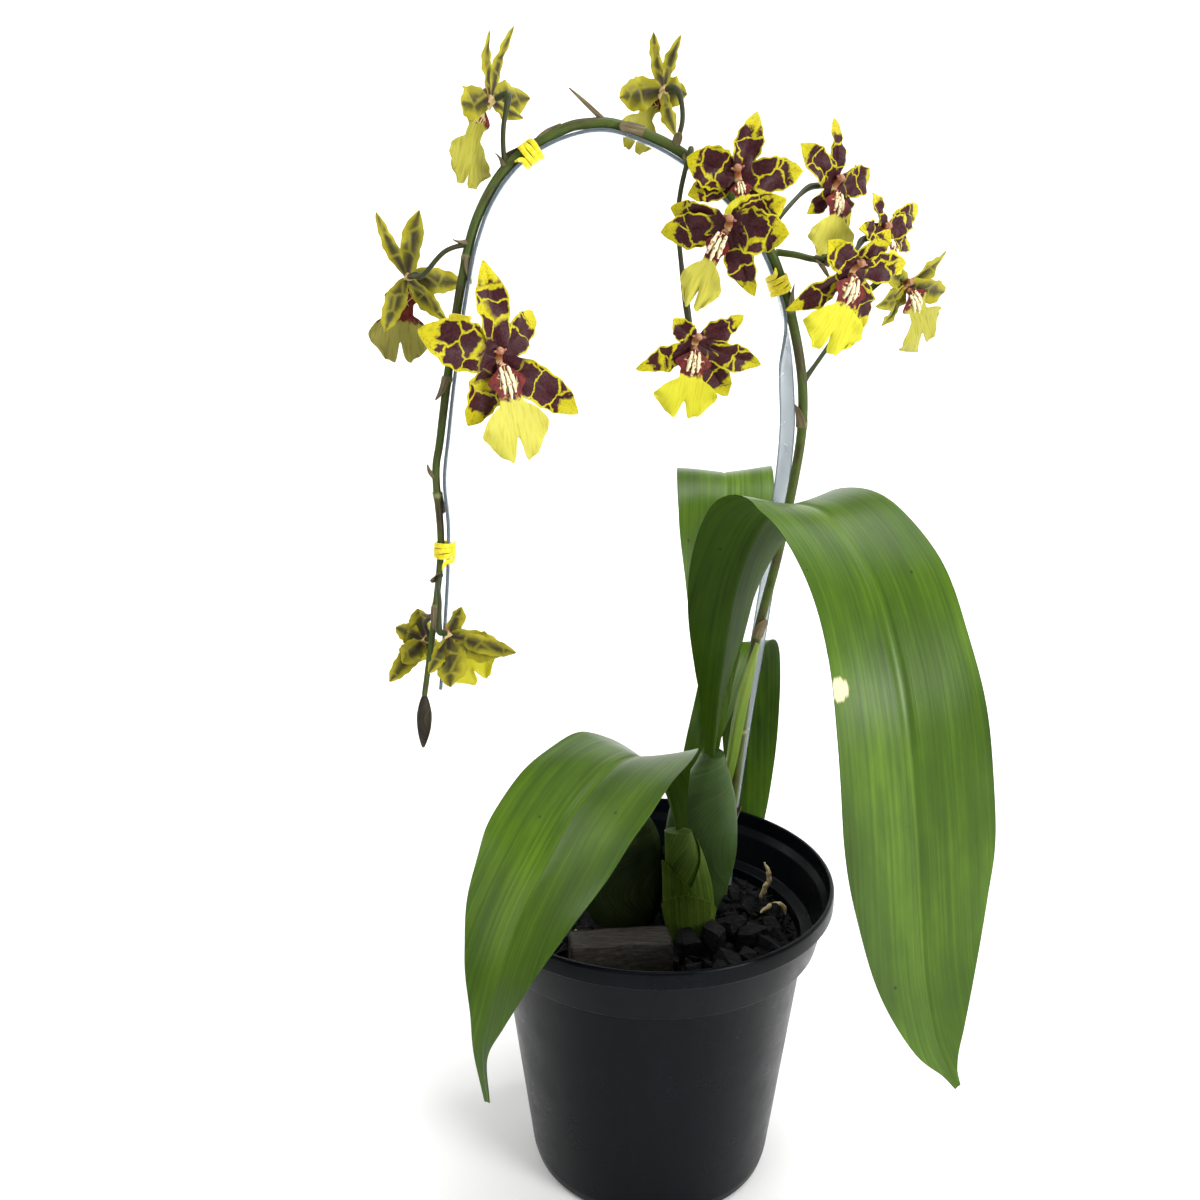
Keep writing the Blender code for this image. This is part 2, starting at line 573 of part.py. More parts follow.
def inner_side(way):
    """Direction from the stem to the strip, on the inner side of the arch."""
    side = np.cross(way, (0, 1, 0))
    return side / np.linalg.norm(side)


def build_strip(parts):
    line = spline(STEM, STEM_POINTS)
    ways = directions(line)
    arch = []
    for i in range(int(np.argmax(line[:, 2] > STRIP_JOINS)), len(line)):
        x, _y, z = line[i]
        if x < 0 and z < STRIP_END:
            break
        apart = STRIP_OFFSET
        if x < 0 and z < STRIP_PARTS:
            apart += STRIP_SLOPE * (STRIP_PARTS - z)
        arch.append((*(line[i] + inner_side(ways[i]) * apart), 0))
    last = np.array(arch[-1])
    arch.append(last + (last - arch[-2]) * (last[2] - STRIP_END) / (arch[-2][2] - last[2]))
    leg = spline([*STRIP_LEG, arch[0]], 15)
    points = np.vstack([leg[:-1], arch])
    ways = directions(points)
    rings = []
    for (x, y, z, twist), way in zip(points, ways):
        side = inner_side(way)
        turn = math.radians(twist)
        wide = math.cos(turn) * np.array([0, 1, 0]) - math.sin(turn) * side
        wide -= way * float(wide @ way)
        wide /= np.linalg.norm(wide)
        thick = np.cross(way, wide)
        centre = np.array([x, y, z])
        half, thin = STRIP_WIDTH / 2, STRIP_THICKNESS / 2
        corners = ((1, 1), (-1, 1), (-1, -1), (1, -1))
        rings.append([centre + wide * a * half + thick * b * thin for a, b in corners])
    return add_mesh("support_strip", loft(rings), parts, "strip", 0.15)


def build_ties(parts):
    for name, (x, z) in TIES.items():
        point, way = stem_place(x, z)
        side = inner_side(way)
        depth = np.cross(way, side)
        centre = point + side * TIE_SHIFT
        rows = []
        steps = int(TIE_STEPS * TIE_TURNS)
        for i in range(steps + 1):
            turn = i / TIE_STEPS
            angle = 2 * math.pi * turn
            along = TIE_PITCH * (turn - TIE_TURNS / 2)
            rows.append(centre + way * along + TIE_LOOP * (side * math.cos(angle) + depth * math.sin(angle)))
        tail = (rows[-1] - rows[-2]) + (rows[-1] - centre) * 0.25
        rows.append(rows[-1] + tail * 0.6)
        rows.append(rows[-1] + tail * 0.9)
        smooth(tube(name, rows, [TIE_RADIUS] * len(rows), parts, "wire", 0), 60)


def build_roots(parts):
    for name, rows in ROOTS.items():
        points = spline(rows, 6)
        radii = [ROOT_RADIUS * (1 - 0.05 * i) for i in range(5)] + [ROOT_RADIUS * 0.45]
        smooth(tube(name, points, radii, parts, "root"), 60)


def facing_vector(facing):
    right, up = (math.radians(angle) for angle in facing)
    return np.array([math.sin(right) * math.cos(up), -math.cos(right) * math.cos(up), math.sin(up)])


def petal_axes(normal, tip):
    """Three directions of a piece of the bloom: out to its tip, towards its front, and across it."""
    along = np.array(tip, float) / np.linalg.norm(tip)
    front = normal - along * float(normal @ along)
    front /= np.linalg.norm(front)
    return along, front, np.cross(along, front)


def petal_shape(u, base):
    """Half width along a sepal or petal, from its claw to its pointed tip."""
    return max(base * (1 - u) ** 2 + math.sin(math.pi * u ** 0.92) ** 0.8, 0.08)


def petal(tip, normal, width, group, phase):
    """One sepal or petal from the edge of the bloom's core: a keeled, waved blade with an arched back."""
    length = float(np.linalg.norm(tip))
    along, front, across = petal_axes(normal, tip)
    root = CORE_RADIUS * 0.55
    bm = bmesh.new()
    bmesh.ops.create_grid(bm, x_segments=4, y_segments=2, size=1)
    for vert in bm.verts:
        u, v = (vert.co.x + 1) / 2, vert.co.y
        half = width / 2 * petal_shape(u, 0.3)
        arch = 0.05 * length * math.sin(math.pi * u)
        edge = abs(v) * half * (0.28 + 0.3 * math.sin(2 * math.pi * 1.7 * u + phase + 1.5 * v))
        vert.co = along * (root + (length - root) * u) + across * v * half + front * (arch + edge)
    bmesh.ops.triangulate(bm, faces=bm.faces)
    return thickened("petal", bm, group)


def peg(name, middle, way, length, radii, sides, group):
    """Straight tapered peg with its middle at a point, along a direction."""
    bm = bmesh.new()
    turn = Vector(way).to_track_quat("Z", "Y").to_matrix().to_4x4()
    place = Matrix.Translation(Vector(middle)) @ turn
    bmesh.ops.create_cone(bm, cap_ends=True, segments=sides, radius1=radii[0], radius2=radii[1],
                          depth=length, matrix=place)
    return add_mesh(name, bm, group)


def lip_shape(u):
    """Half width along the lip: side lobes, a neck, and a broad front lobe."""
    lobes = 0.56 * math.exp(-((u - 0.18) / 0.13) ** 2)
    neck = 0.36
    front = 0.64 * max(0, math.sin(math.pi * min(1, max(0, (u - 0.42) / 0.66)))) ** 0.7
    return max(lobes, neck * min(1, 0.35 + 4 * u), neck + front if u > 0.42 else 0)


def lip(name, centre, normal, tip, group):
    """Lip of a bloom: a waved plate with a notched front lobe, and a raised callus near its base."""
    length = float(np.linalg.norm(tip))
    along, front, across = petal_axes(normal, tip)
    scale = min(1.0, length / 30)
    start = centre + front * LIP_HEIGHT + along * 2.1
    reach = length - 2.3
    bm = bmesh.new()
    bmesh.ops.create_grid(bm, x_segments=6, y_segments=4, size=1)
    for vert in bm.verts:
        u, v = (vert.co.x + 1) / 2, vert.co.y
        half = LIP_WIDTH / 2 * scale * lip_shape(u)
        drawn_back = LIP_NOTCH * math.exp(-(v / 0.15) ** 2) + LIP_ROUND * abs(v) ** 3.5
        down = reach * u * (1 - u ** 3 * drawn_back)
        raise_edge = 0.12 * half * math.sin(2 * math.pi * 1.5 * u + 3 * v) * abs(v) * u
        arch = 0.05 * reach * math.sin(math.pi * u)
        vert.co = start + along * down + across * v * half + front * (raise_edge + arch)
    bmesh.ops.triangulate(bm, faces=bm.faces)
    plate = thickened(name, bm, group, "lip")
    middle = start + along * reach * 0.17 + front * 0.7
    callus = peg("callus", middle, front, 2.6, (2.4 * scale, 1 * scale), 6, group)
    combine(plate, [callus], "UNION")
    return smooth(plate, 50)


def bloom(letter, group):
    """Five outer pieces and the column joined as one body, and the lip as another."""
    centre, facing, outer, lip_tip, _way = BLOOMS[letter]
    centre, normal = np.array(centre, float), facing_vector(facing)
    bm = bmesh.new()
    bmesh.ops.create_icosphere(bm, subdivisions=1, radius=CORE_RADIUS)
    core = add_mesh("bloom_" + letter, bm, group, "petal")
    pieces = []
    for i, (*tip, width) in enumerate(outer):
        pieces.append(petal(tip, normal, width, group, 1.9 * i + ord(letter)))
    along, front, _across = petal_axes(normal, lip_tip)
    column_way = normal * 0.8 - along * 0.6
    column_way /= np.linalg.norm(column_way)
    column_middle = column_way * COLUMN_LENGTH / 2
    pieces.append(peg("column", column_middle, column_way, COLUMN_LENGTH, (1.5, 1.9), 5, group))
    foot_top = LIP_HEIGHT - BLADE / 2 - GAP
    foot_middle = along * 2.4 + front * (foot_top - 0.4) / 2
    pieces.append(peg("foot", foot_middle, front, foot_top + 0.4, (1.1, 1.1), 4, group))
    combine(core, pieces, "UNION")
    core.data.transform(Matrix.Translation(Vector(centre) * MM))
    smooth(core, 50)
    lip("lip_" + letter, centre, normal, lip_tip, group)


def main():
    clear_scene()
    parts = new_collection("oncidium_orchid")
    build_pot(parts)
    build_charcoal(parts)
    bulb("main_pseudobulb", MAIN_BULB, parts, "bulb", 16, 12)
    bulb("old_pseudobulb", OLD_BULB, parts, "bulb", 16, 9, 0.03, 5)
    bulb("new_shoot", NEW_SHOOT, parts, "shoot", 12, 9)
    for name in LEAVES:
        leaf(name, parts)
    build_stem(parts)
    bulb("tip_bud", BUD, parts, "bud", 8, 7)
    build_strip(parts)
    build_ties(parts)
    build_roots(parts)
    for letter in BLOOMS:
        bloom(letter, parts)


main()
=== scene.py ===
# Looks of a potted oncidium orchid: satin leaves, spotted blooms on an arching stem, black nursery pot.
import math
import random

import bmesh
import bpy
import numpy as np
from mathutils import Matrix, Vector


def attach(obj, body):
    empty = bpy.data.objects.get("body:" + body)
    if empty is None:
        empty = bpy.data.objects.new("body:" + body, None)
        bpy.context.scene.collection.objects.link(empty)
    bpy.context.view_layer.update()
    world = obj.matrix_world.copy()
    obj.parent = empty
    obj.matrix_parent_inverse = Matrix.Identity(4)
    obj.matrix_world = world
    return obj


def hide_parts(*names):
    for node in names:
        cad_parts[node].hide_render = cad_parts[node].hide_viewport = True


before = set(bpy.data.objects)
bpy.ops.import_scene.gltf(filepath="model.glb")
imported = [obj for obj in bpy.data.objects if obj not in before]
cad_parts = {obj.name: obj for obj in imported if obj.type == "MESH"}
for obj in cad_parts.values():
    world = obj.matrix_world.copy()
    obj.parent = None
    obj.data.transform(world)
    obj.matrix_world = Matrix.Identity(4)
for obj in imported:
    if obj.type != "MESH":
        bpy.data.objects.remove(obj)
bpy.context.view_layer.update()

mm = 0.001  # tables below are in millimetres, in the frame of the part


# Small tools

def linear(hexColour):
    channels = [int(hexColour[i:i + 2], 16) / 255 for i in (1, 3, 5)]
    return (*(c / 12.92 if c <= 0.04045 else ((c + 0.055) / 1.055) ** 2.4 for c in channels), 1)


def addNode(tree, kind, settings=None, links=None):
    # A name of an input sets that input and any other name sets the node itself, "stops" fills a colour ramp
    # and "range" a map range. Inputs that share a name go by number, such as 0, 6 and 7 for a mix of colours.
    # A link is a socket, or a node whose first output in use is taken.
    node = tree.nodes.new("ShaderNode" + kind)
    for key, value in (settings or {}).items():
        if isinstance(value, str) and value.startswith("#"):
            value = linear(value)
        if key == "stops":
            ends = node.color_ramp.elements
            for element, (place, colour) in ((ends[0], value[0]), (ends[1], value[-1])):
                element.position, element.color = place, linear(colour)
            for place, colour in value[1:-1]:
                ends.new(place).color = linear(colour)
        elif key == "range":
            for i, limit in enumerate(value, 1):
                node.inputs[i].default_value = limit
        elif isinstance(key, int) or key in node.inputs:
            node.inputs[key].default_value = value
        else:
            setattr(node, key, value)
    for key, source in (links or {}).items():
        if isinstance(source, bpy.types.Node):
            source = next(socket for socket in source.outputs if socket.enabled)
        tree.links.new(source, node.inputs[key])
    return node


def newMaterial(name):
    material = bpy.data.materials.new(name)
    material.use_nodes = True
    material.node_tree.nodes.clear()
    return material, material.node_tree


def finished(material, look, colour=None, relief=None, roughness=None):
    # the shader: plain settings, then from nodes a colour, relief (height, strength, depth in mm), roughness
    tree = material.node_tree
    links = {"Base Color": colour, "Roughness": roughness}
    if relief:
        height, strength, depth = relief
        settings = {"Strength": strength, "Distance": depth * mm}
        links["Normal"] = addNode(tree, "Bump", settings, {"Height": height})
    shader = addNode(tree, "BsdfPrincipled", look, {key: source for key, source in links.items() if source})
    addNode(tree, "OutputMaterial", None, {"Surface": shader})
    return material


def streaks(tree, place, scale, detail, roughness=0.5, turn=(0, 0, 0)):
    # noise drawn out along a piece, by its waves for each unit of place on each axis
    stretched = addNode(tree, "Mapping", {"Scale": scale, "Rotation": turn}, {"Vector": place})
    settings = {"Scale": 1, "Detail": detail, "Roughness": roughness}
    return addNode(tree, "TexNoise", settings, {"Vector": stretched})


def gridPlaces(tree):
    # what a grid tells its material: place in millimetres, share along, and share from its middle to its edge
    place, share = (addNode(tree, "Attribute", {"attribute_name": name}).outputs["Vector"]
                    for name in ("place", "share"))
    split = addNode(tree, "SeparateXYZ", None, {0: share})
    return place, split.outputs[0], addNode(tree, "Math", {"operation": "ABSOLUTE"}, {0: split.outputs[1]})


def unit(vector):
    return vector / np.linalg.norm(vector)


def distances(points):
    return np.concatenate([[0], np.cumsum(np.linalg.norm(np.diff(points[:, :3], axis=0), axis=1))])


def directions(points):
    ways = np.gradient(points[:, :3], axis=0)
    return ways / np.linalg.norm(ways, axis=1)[:, None]


def around(count):
    return np.linspace(0, 2 * math.pi, count, endpoint=False)


def spline(rows, count):
    # even steps on a smooth curve through the rows, the same curve as the solids follow
    rows = np.array(rows, float)
    ends = np.vstack([2 * rows[0] - rows[1], rows, 2 * rows[-1] - rows[-2]])
    fine = []
    for p0, p1, p2, p3 in zip(ends, ends[1:], ends[2:], ends[3:]):
        for t in np.linspace(0, 1, 12, endpoint=False):
            fine.append(0.5 * (2 * p1 + (p2 - p0) * t + (2 * p0 - 5 * p1 + 4 * p2 - p3) * t * t
                               + (3 * p1 - p0 - 3 * p2 + p3) * t ** 3))
    fine = np.array(fine + [rows[-1]])
    run = distances(fine)
    marks = np.linspace(0, run[-1], count)
    return np.column_stack([np.interp(marks, run, column) for column in fine.T])


def pieceName(node):
    first, *rest = node.split("_")
    return first + "".join(word.title() for word in rest)


# Every piece is one mesh made of grids. A grid holds points in millimetres, and for the materials a place
# (millimetres along and across, and a number of its own) and a share (0 to 1 along, -1 to 1 across).

def grid(points, place, share, slot=0, wrap=False, caps=False):
    return {"points": points, "place": place, "share": share, "slot": slot, "wrap": wrap, "caps": caps}


def sampled(cells, spotAt):
    # points, places and shares of a grid, each from its u (0 to 1 along) and v (-1 to 1 across)
    rows, columns = cells
    spots = [[spotAt(i / rows, 2 * j / columns - 1) for j in range(columns + 1)] for i in range(rows + 1)]
    return [np.array([[spot[k] for spot in row] for row in spots], float) for k in range(3)]


def meshObject(name, bm, materials=()):
    mesh = bpy.data.meshes.new(name)
    bm.to_mesh(mesh)
    bm.free()
    for material in materials:
        mesh.materials.append(material)
    piece = bpy.data.objects.new(name, mesh)
    bpy.context.scene.collection.objects.link(piece)
    return piece


def placed(name, bm, materials, replaced, angle):
    piece = meshObject(name, bm, materials)
    piece.data.shade_smooth()
    piece.data.set_sharp_from_angle(angle=math.radians(angle))
    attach(piece, "root")
    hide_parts(replaced)
    return piece


def meshPiece(name, grids, materials, replaced, angle=60):
    bm = bmesh.new()
    placeLayer = bm.verts.layers.float_vector.new("place")
    shareLayer = bm.verts.layers.float_vector.new("share")
    for part in grids:
        slot = part["slot"]
        rows, columns = part["points"].shape[:2]
        verts = []
        for i in range(rows):
            for j in range(columns):
                vert = bm.verts.new(part["points"][i, j] * mm)
                vert[placeLayer] = part["place"][i, j]
                vert[shareLayer] = part["share"][i, j]
                verts.append(vert)
        for i in range(rows - 1):
            for j in range(columns if part["wrap"] else columns - 1):
                k = (j + 1) % columns
                corner = (i * columns + j, i * columns + k, (i + 1) * columns + k, (i + 1) * columns + j)
                face = bm.faces.new([verts[c] for c in corner])
                face.material_index = slot if isinstance(slot, int) else int(slot[i, j])
        for loop in (verts[:columns][::-1], verts[-columns:]) if part["caps"] else ():
            if part["caps"] == "ladder":  # a blade's end is closed straight across its thin side
                for j in range(columns // 2 - 1):
                    bm.faces.new((loop[j], loop[j + 1], loop[-2 - j], loop[-1 - j]))
            else:
                bm.faces.new(loop).material_index = slot if isinstance(slot, int) else 0
    bmesh.ops.recalc_face_normals(bm, faces=bm.faces)
    return placed(name, bm, materials, replaced, angle)


def blade(spots, thickness, front=0, back=1):
    # closed thin sheet: the front, the back and the rim as one ring of columns, thinner at its edges
    points, place, share = spots
    normals = np.cross(np.gradient(points, axis=0), np.gradient(points, axis=1))
    normals /= np.linalg.norm(normals, axis=2)[:, :, None] + 1e-9
    thin = 1 - 0.55 * np.abs(share[:, :, 1:2]) ** 4
    upper = points + normals * thickness / 2 * thin
    lower = points - normals * thickness / 2 * thin
    rows, columns = points.shape[:2]
    slots = np.full((rows, 2 * columns), back)
    slots[:, :columns - 1] = front
    ring, places, shares = (np.concatenate([a, b[:, ::-1]], axis=1)
                            for a, b in ((upper, lower), (place, place), (share, share)))
    return grid(ring, places, shares, slots, wrap=True, caps="ladder")


def tube(points, radii, sides=16, slot=0, number=0, flute=0, flutes=3):
    # round stalk or wire along points, carried along the curve with no twist
    points = np.array(points, float)
    ways = directions(points)
    across = unit(np.cross(ways[0], (0.3, 0.9, 0.2)))
    run = distances(points)
    angles = around(sides)
    rings, places, shares = [], [], []
    for point, way, radius, along in zip(points, ways, radii, run):
        across = unit(across - way * float(across @ way))
        other = np.cross(way, across)
        swell = radius * (1 + flute * np.cos(flutes * angles))
        outward = np.cos(angles)[:, None] * across + np.sin(angles)[:, None] * other
        rings.append(point + swell[:, None] * outward)
        places.append([(along, radius * math.sin(angle), number) for angle in angles])
        shares.append([(along / run[-1], math.sin(angle), number) for angle in angles])
    return grid(np.array(rings), np.array(places), np.array(shares), slot, wrap=True, caps=True)


# Camera, light and floor

stageLook = {
    "lens": 36, "sensor": 36, "place": (-22, -455, 372), "pitchDown": 15.3,
    "background": "#ffffff", "backgroundStrength": 0.37, "floor": "#fbfbfa",
    "paperSize": 4.5, "sweepStart": 1.4, "sweepRadius": 0.9,  # metres; the paper curves up behind the pot
}
lampSettings = {  # place, aim and size in mm, watts
    "windowRight": ((880, -820, 560), (0, 0, 240), 520, 13),
    "fillLeft": ((-900, -900, 1000), (0, 0, 220), 900, 4.5),
    "overhead": ((200, 0, 1300), (0, 0, 220), 700, 8),
    "backdropLeft": ((-1300, 700, 1300), (-500, 2300, 500), 1200, 30),
    "backdropRight": ((1300, 700, 1300), (500, 2300, 500), 1200, 30),
}


def seamlessPaper():
    # seamless studio paper, uncoated: matte off-white with a tooth that is barely seen
    material, tree = newMaterial("seamlessPaper")
    tooth = addNode(tree, "TexNoise", {"Scale": 400, "Detail": 3})
    return finished(material, {"Base Color": stageLook["floor"], "Roughness": 0.9}, relief=(tooth, 0.05, 0.2))


def buildCamera(scene):
    camera = bpy.data.objects.new("camera", bpy.data.cameras.new("camera"))
    camera.data.lens = stageLook["lens"]
    camera.data.sensor_width = stageLook["sensor"]
    camera.data.clip_start = 0.01
    camera.location = Vector(stageLook["place"]) * mm
    camera.rotation_euler = (math.radians(90 - stageLook["pitchDown"]), 0, 0)
    scene.collection.objects.link(camera)
    scene.camera = camera


def buildLights(scene):
    scene.view_settings.view_transform = "Standard"
    world = bpy.data.worlds.new("studio")
    scene.world = world
    world.use_nodes = True
    background = world.node_tree.nodes["Background"]
    background.inputs["Color"].default_value = linear(stageLook["background"])
    background.inputs["Strength"].default_value = stageLook["backgroundStrength"]
    for name, (place, aim, size, power) in lampSettings.items():
        light = bpy.data.lights.new(name, "AREA")
        light.shape = "DISK"
        light.size = size * mm
        light.energy = power
        lamp = bpy.data.objects.new(name, light)
        lamp.location = Vector(place) * mm
        lamp.rotation_euler = (Vector(aim) - Vector(place)).to_track_quat("-Z", "Y").to_euler()
        scene.collection.objects.link(lamp)


def buildFloor():
    bm = bmesh.new()
    bmesh.ops.create_grid(bm, x_segments=8, y_segments=90, size=stageLook["paperSize"])
    start, radius = stageLook["sweepStart"], stageLook["sweepRadius"]
    for vert in bm.verts:
        beyond = vert.co.y - start
        if beyond > 0:
            turn = min(beyond / radius, math.pi / 2)
            vert.co.y = start + radius * math.sin(turn)
            vert.co.z = radius * (1 - math.cos(turn)) + max(0, beyond - radius * math.pi / 2)
    floor = meshObject("floor", bm, [seamlessPaper()])
    floor.data.shade_smooth()


buildCamera(bpy.context.scene)
buildLights(bpy.context.scene)
buildFloor()
print("stage ready")


# Pot

potShape = {
    "height": 129, "rim": 75, "foot": 50, "floor": 1.8, "sides": 144,
    "drains": 6, "drainRadius": 4, "drainRing": 34, "drainTurn": 0.37,
}
potLook = {"plastic": "#04060a", "worn": "#080b10", "flowMark": 9, "dust": "#14171b"}


def polypropylene():
    # polypropylene, injection moulded and tumbled in handling: a satin blue-black with soft highlights
    material, tree = newMaterial("mouldedPolypropylene")
    place = addNode(tree, "TexCoord").outputs["Object"]
    across = 1000 / potLook["flowMark"]
    marks = streaks(tree, place, (across, across, 12), 5, 0.6)
    stops = [(0.35, potLook["plastic"]), (0.8, potLook["worn"])]
    colour = addNode(tree, "ValToRGB", {"stops": stops}, {"Fac": marks})
    grime = addNode(tree, "TexNoise", {"Scale": 60, "Detail": 8, "Roughness": 0.7}, {"Vector": place})
    specks = addNode(tree, "MapRange", {"range": (0.6, 0.78, 0, 0.3)}, {0: grime})
    dusty = addNode(tree, "Mix", {"data_type": "RGBA", 7: potLook["dust"]}, {0: specks, 6: colour})
    rough = addNode(tree, "MapRange", {"range": (0.3, 0.7, 0.24, 0.4)}, {0: grime})
    fine = addNode(tree, "TexNoise", {"Scale": 900, "Detail": 2}, {"Vector": place})
    return finished(material, {"IOR": 1.49, "Specular IOR Level": 0.08}, dusty, (fine, 0.12, 0.3), rough)


def rounded(profile, reach=0.45, steps=3):
    # rounds each corner of a profile of radius and height by at most reach millimetres
    profile = [np.array(p, float) for p in profile]
    out = [profile[0]]
    for before, corner, after in zip(profile, profile[1:], profile[2:]):
        cut = min(reach, 0.45 * np.linalg.norm(corner - before), 0.45 * np.linalg.norm(after - corner))
        start = corner + unit(before - corner) * cut
        end = corner + unit(after - corner) * cut
        for t in np.linspace(0, 1, steps + 1):
            out.append((1 - t) ** 2 * start + 2 * t * (1 - t) * corner + t * t * end)
    return out + [profile[-1]]


def buildPot():
    height, rim, foot, low = (potShape[key] for key in ("height", "rim", "foot", "floor"))
    under, step = height - 7.6, height - 23.5  # undersides of the rolled rim and of the stepped collar
    profile = rounded([
        (0.01, low), (foot - 2.2, low), (foot, 4.6), (62.3, step + 0.6), (67, step + 2), (70.4, height - 9.5),
        (72.8, height - 6.4), (73.2, height), (rim - 0.5, height), (rim, height - 1), (rim, under + 0.6),
        (72.2, under - 0.9), (68.8, step), (64, step - 0.7), (foot + 1.5, 5.4), (foot + 0.4, 1.4),
        (foot - 1.2, 0), (foot - 6, 0), (foot - 7, 1), (0.01, 1),
    ])
    angles = around(potShape["sides"])
    points = np.array([[(r * math.cos(a), r * math.sin(a), z) for a in angles] for r, z in profile])
    pot = meshPiece("nurseryPot", [grid(points, points, points, wrap=True, caps=True)], [polypropylene()],
                    "pot", 35)
    bm = bmesh.new()
    bore, ring = potShape["drainRadius"] * mm, potShape["drainRing"] * mm
    for i in range(potShape["drains"]):
        angle = 2 * math.pi * (i + potShape["drainTurn"]) / potShape["drains"]
        place = Matrix.Translation((ring * math.cos(angle), ring * math.sin(angle), 0))
        bmesh.ops.create_cone(bm, cap_ends=True, segments=32, radius1=bore, radius2=bore, depth=12 * mm,
                              matrix=place)
    drill = meshObject("drill", bm)
    cut = pot.modifiers.new("drains", "BOOLEAN")
    cut.operation = "DIFFERENCE"
    cut.object = drill
    bpy.context.view_layer.update()
    mesh = bpy.data.meshes.new_from_object(pot.evaluated_get(bpy.context.evaluated_depsgraph_get()))
    pot.modifiers.clear()
    pot.data = mesh
    bpy.data.objects.remove(drill)


buildPot()
print("pot ready")


# Charcoal

charcoalBed = {
    "top": 103, "radius": 61.6, "lowRadius": 49, "seed": 7,
    "chunks": 16, "chunkRing": 52, "chunkGap": 9, "chunkSize": ((9, 16), (8, 13), (9, 14)),
    "heap": ((15.5, -20, 6), (24.5, -17.5, 7.5), (31.5, -10, 6)), "heapSize": (13, 10, 14),
    "chips": (330, (4, 11), (-1.5, 1.5)), "crumbs": (560, (1.2, 3), (0, 1.2)),  # count, sizes, heights
    "clear": ((19, 9, 19), (-12, 9, 21), (15.5, -12, 21), (32.2, 22.6, 11), (34, 29.6, 12), (11, 29, 12),
              (23, 22.6, 11), (50.5, 28, 9), (57, 13, 13), (48, 8, 10), (-33, -13, 9), (-30, -31, 18),
              (-14, -31, 20), (2, -31, 18)),
    "bulbs": ((19, 9, 9), (-12, 9, 16), (15.5, -8.6, 8)),
}
charcoalBlock = {"size": (42, 15, 14), "place": (-14, -31, 110.3), "turn": 6, "chip": 0.22, "seed": 3}
charcoalLook = {
    "broken": ("#090a0a", "#151617", "#434240"), "ashy": ("#282522", "#403c37", "#645f57"),
    "grain": 1.1, "pit": 2.5,  # widths in mm
}


def charcoal(name, colours):
    # broken charcoal: near-black with a grey bloom of ash on its edges and the wood's grain left in it
    material, tree = newMaterial(name)
    place = addNode(tree, "TexCoord").outputs["Object"]
    across = 1000 / charcoalLook["grain"]
    grain = streaks(tree, place, (across * 0.12, across, across), 6, 0.65, (0.3, 0.2, 0.7))
    pits = addNode(tree, "TexVoronoi", {"Scale": 1000 / charcoalLook["pit"]}, {"Vector": place})
    colour = addNode(tree, "ValToRGB", {"stops": list(zip((0.3, 0.58, 0.85), colours))}, {"Fac": grain})
    height = addNode(tree, "Math", {"operation": "ADD"}, {0: grain, 1: pits})
    return finished(material, {"Roughness": 0.72, "Specular IOR Level": 0.15}, colour, (height, 0.7, 0.8))


def shard(bm, rng, size, place, turn, points):
    # a broken piece: the hull of random points in a box, with its edges chipped
    verts = []
    for _ in range(points):
        spot = Vector([rng.uniform(-1, 1) for _ in range(3)])
        spot *= 1 / max(abs(c) for c in spot) if rng.random() < 0.75 else 1
        spot = Vector([c * s / 2 for c, s in zip(spot, size)])
        verts.append(bm.verts.new((turn @ spot + Vector(place)) * mm))
    hull = bmesh.ops.convex_hull(bm, input=verts)
    loose = [part for part in hull["geom_interior"] if isinstance(part, bmesh.types.BMVert)]
    bmesh.ops.delete(bm, geom=loose, context="VERTS")


def discSpot(rng, radius, inner=0):
    angle = rng.uniform(0, 2 * math.pi)
    distance = radius * math.sqrt(rng.uniform(inner, 1))
    return distance * math.cos(angle), distance * math.sin(angle)


def tumbled(rng, tilt):
    heading = Matrix.Rotation(rng.uniform(0, math.pi), 3, "Z")
    return heading @ Matrix.Rotation(rng.uniform(-tilt, tilt), 3, "X")


def randomFor(x, y):
    return random.Random(int(x * 100) * 1000 + int(y * 100))


def skipLump(rng):
    for _ in range(24):
        rng.uniform(0.72, 1.12)  # the solid draws these for its lump, so that the places stay the same


def chunkPlaces(rng):
    places = []
    while len(places) < charcoalBed["chunks"]:
        x, y = discSpot(rng, charcoalBed["chunkRing"], 0.04)
        clear = all(math.hypot(x - a, y - b) > reach for a, b, reach in charcoalBed["clear"])
        if clear and all(math.hypot(x - a, y - b) > charcoalBed["chunkGap"] for a, b in places):
            places.append((x, y))
    return places


def scatter(bm, rng, count, sizes, rise):
    while count:
        x, y = discSpot(rng, charcoalBed["radius"] - sizes[1] * 0.55)
        if any(math.hypot(x - a, y - b) < reach + sizes[0] * 0.4 for a, b, reach in charcoalBed["bulbs"]):
            continue
        size = [rng.uniform(*sizes) for _ in range(3)]
        turn = tumbled(rng, 0.8)
        shard(bm, rng, size, (x, y, charcoalBed["top"] + rng.uniform(*rise)), turn, 12)
        count -= 1


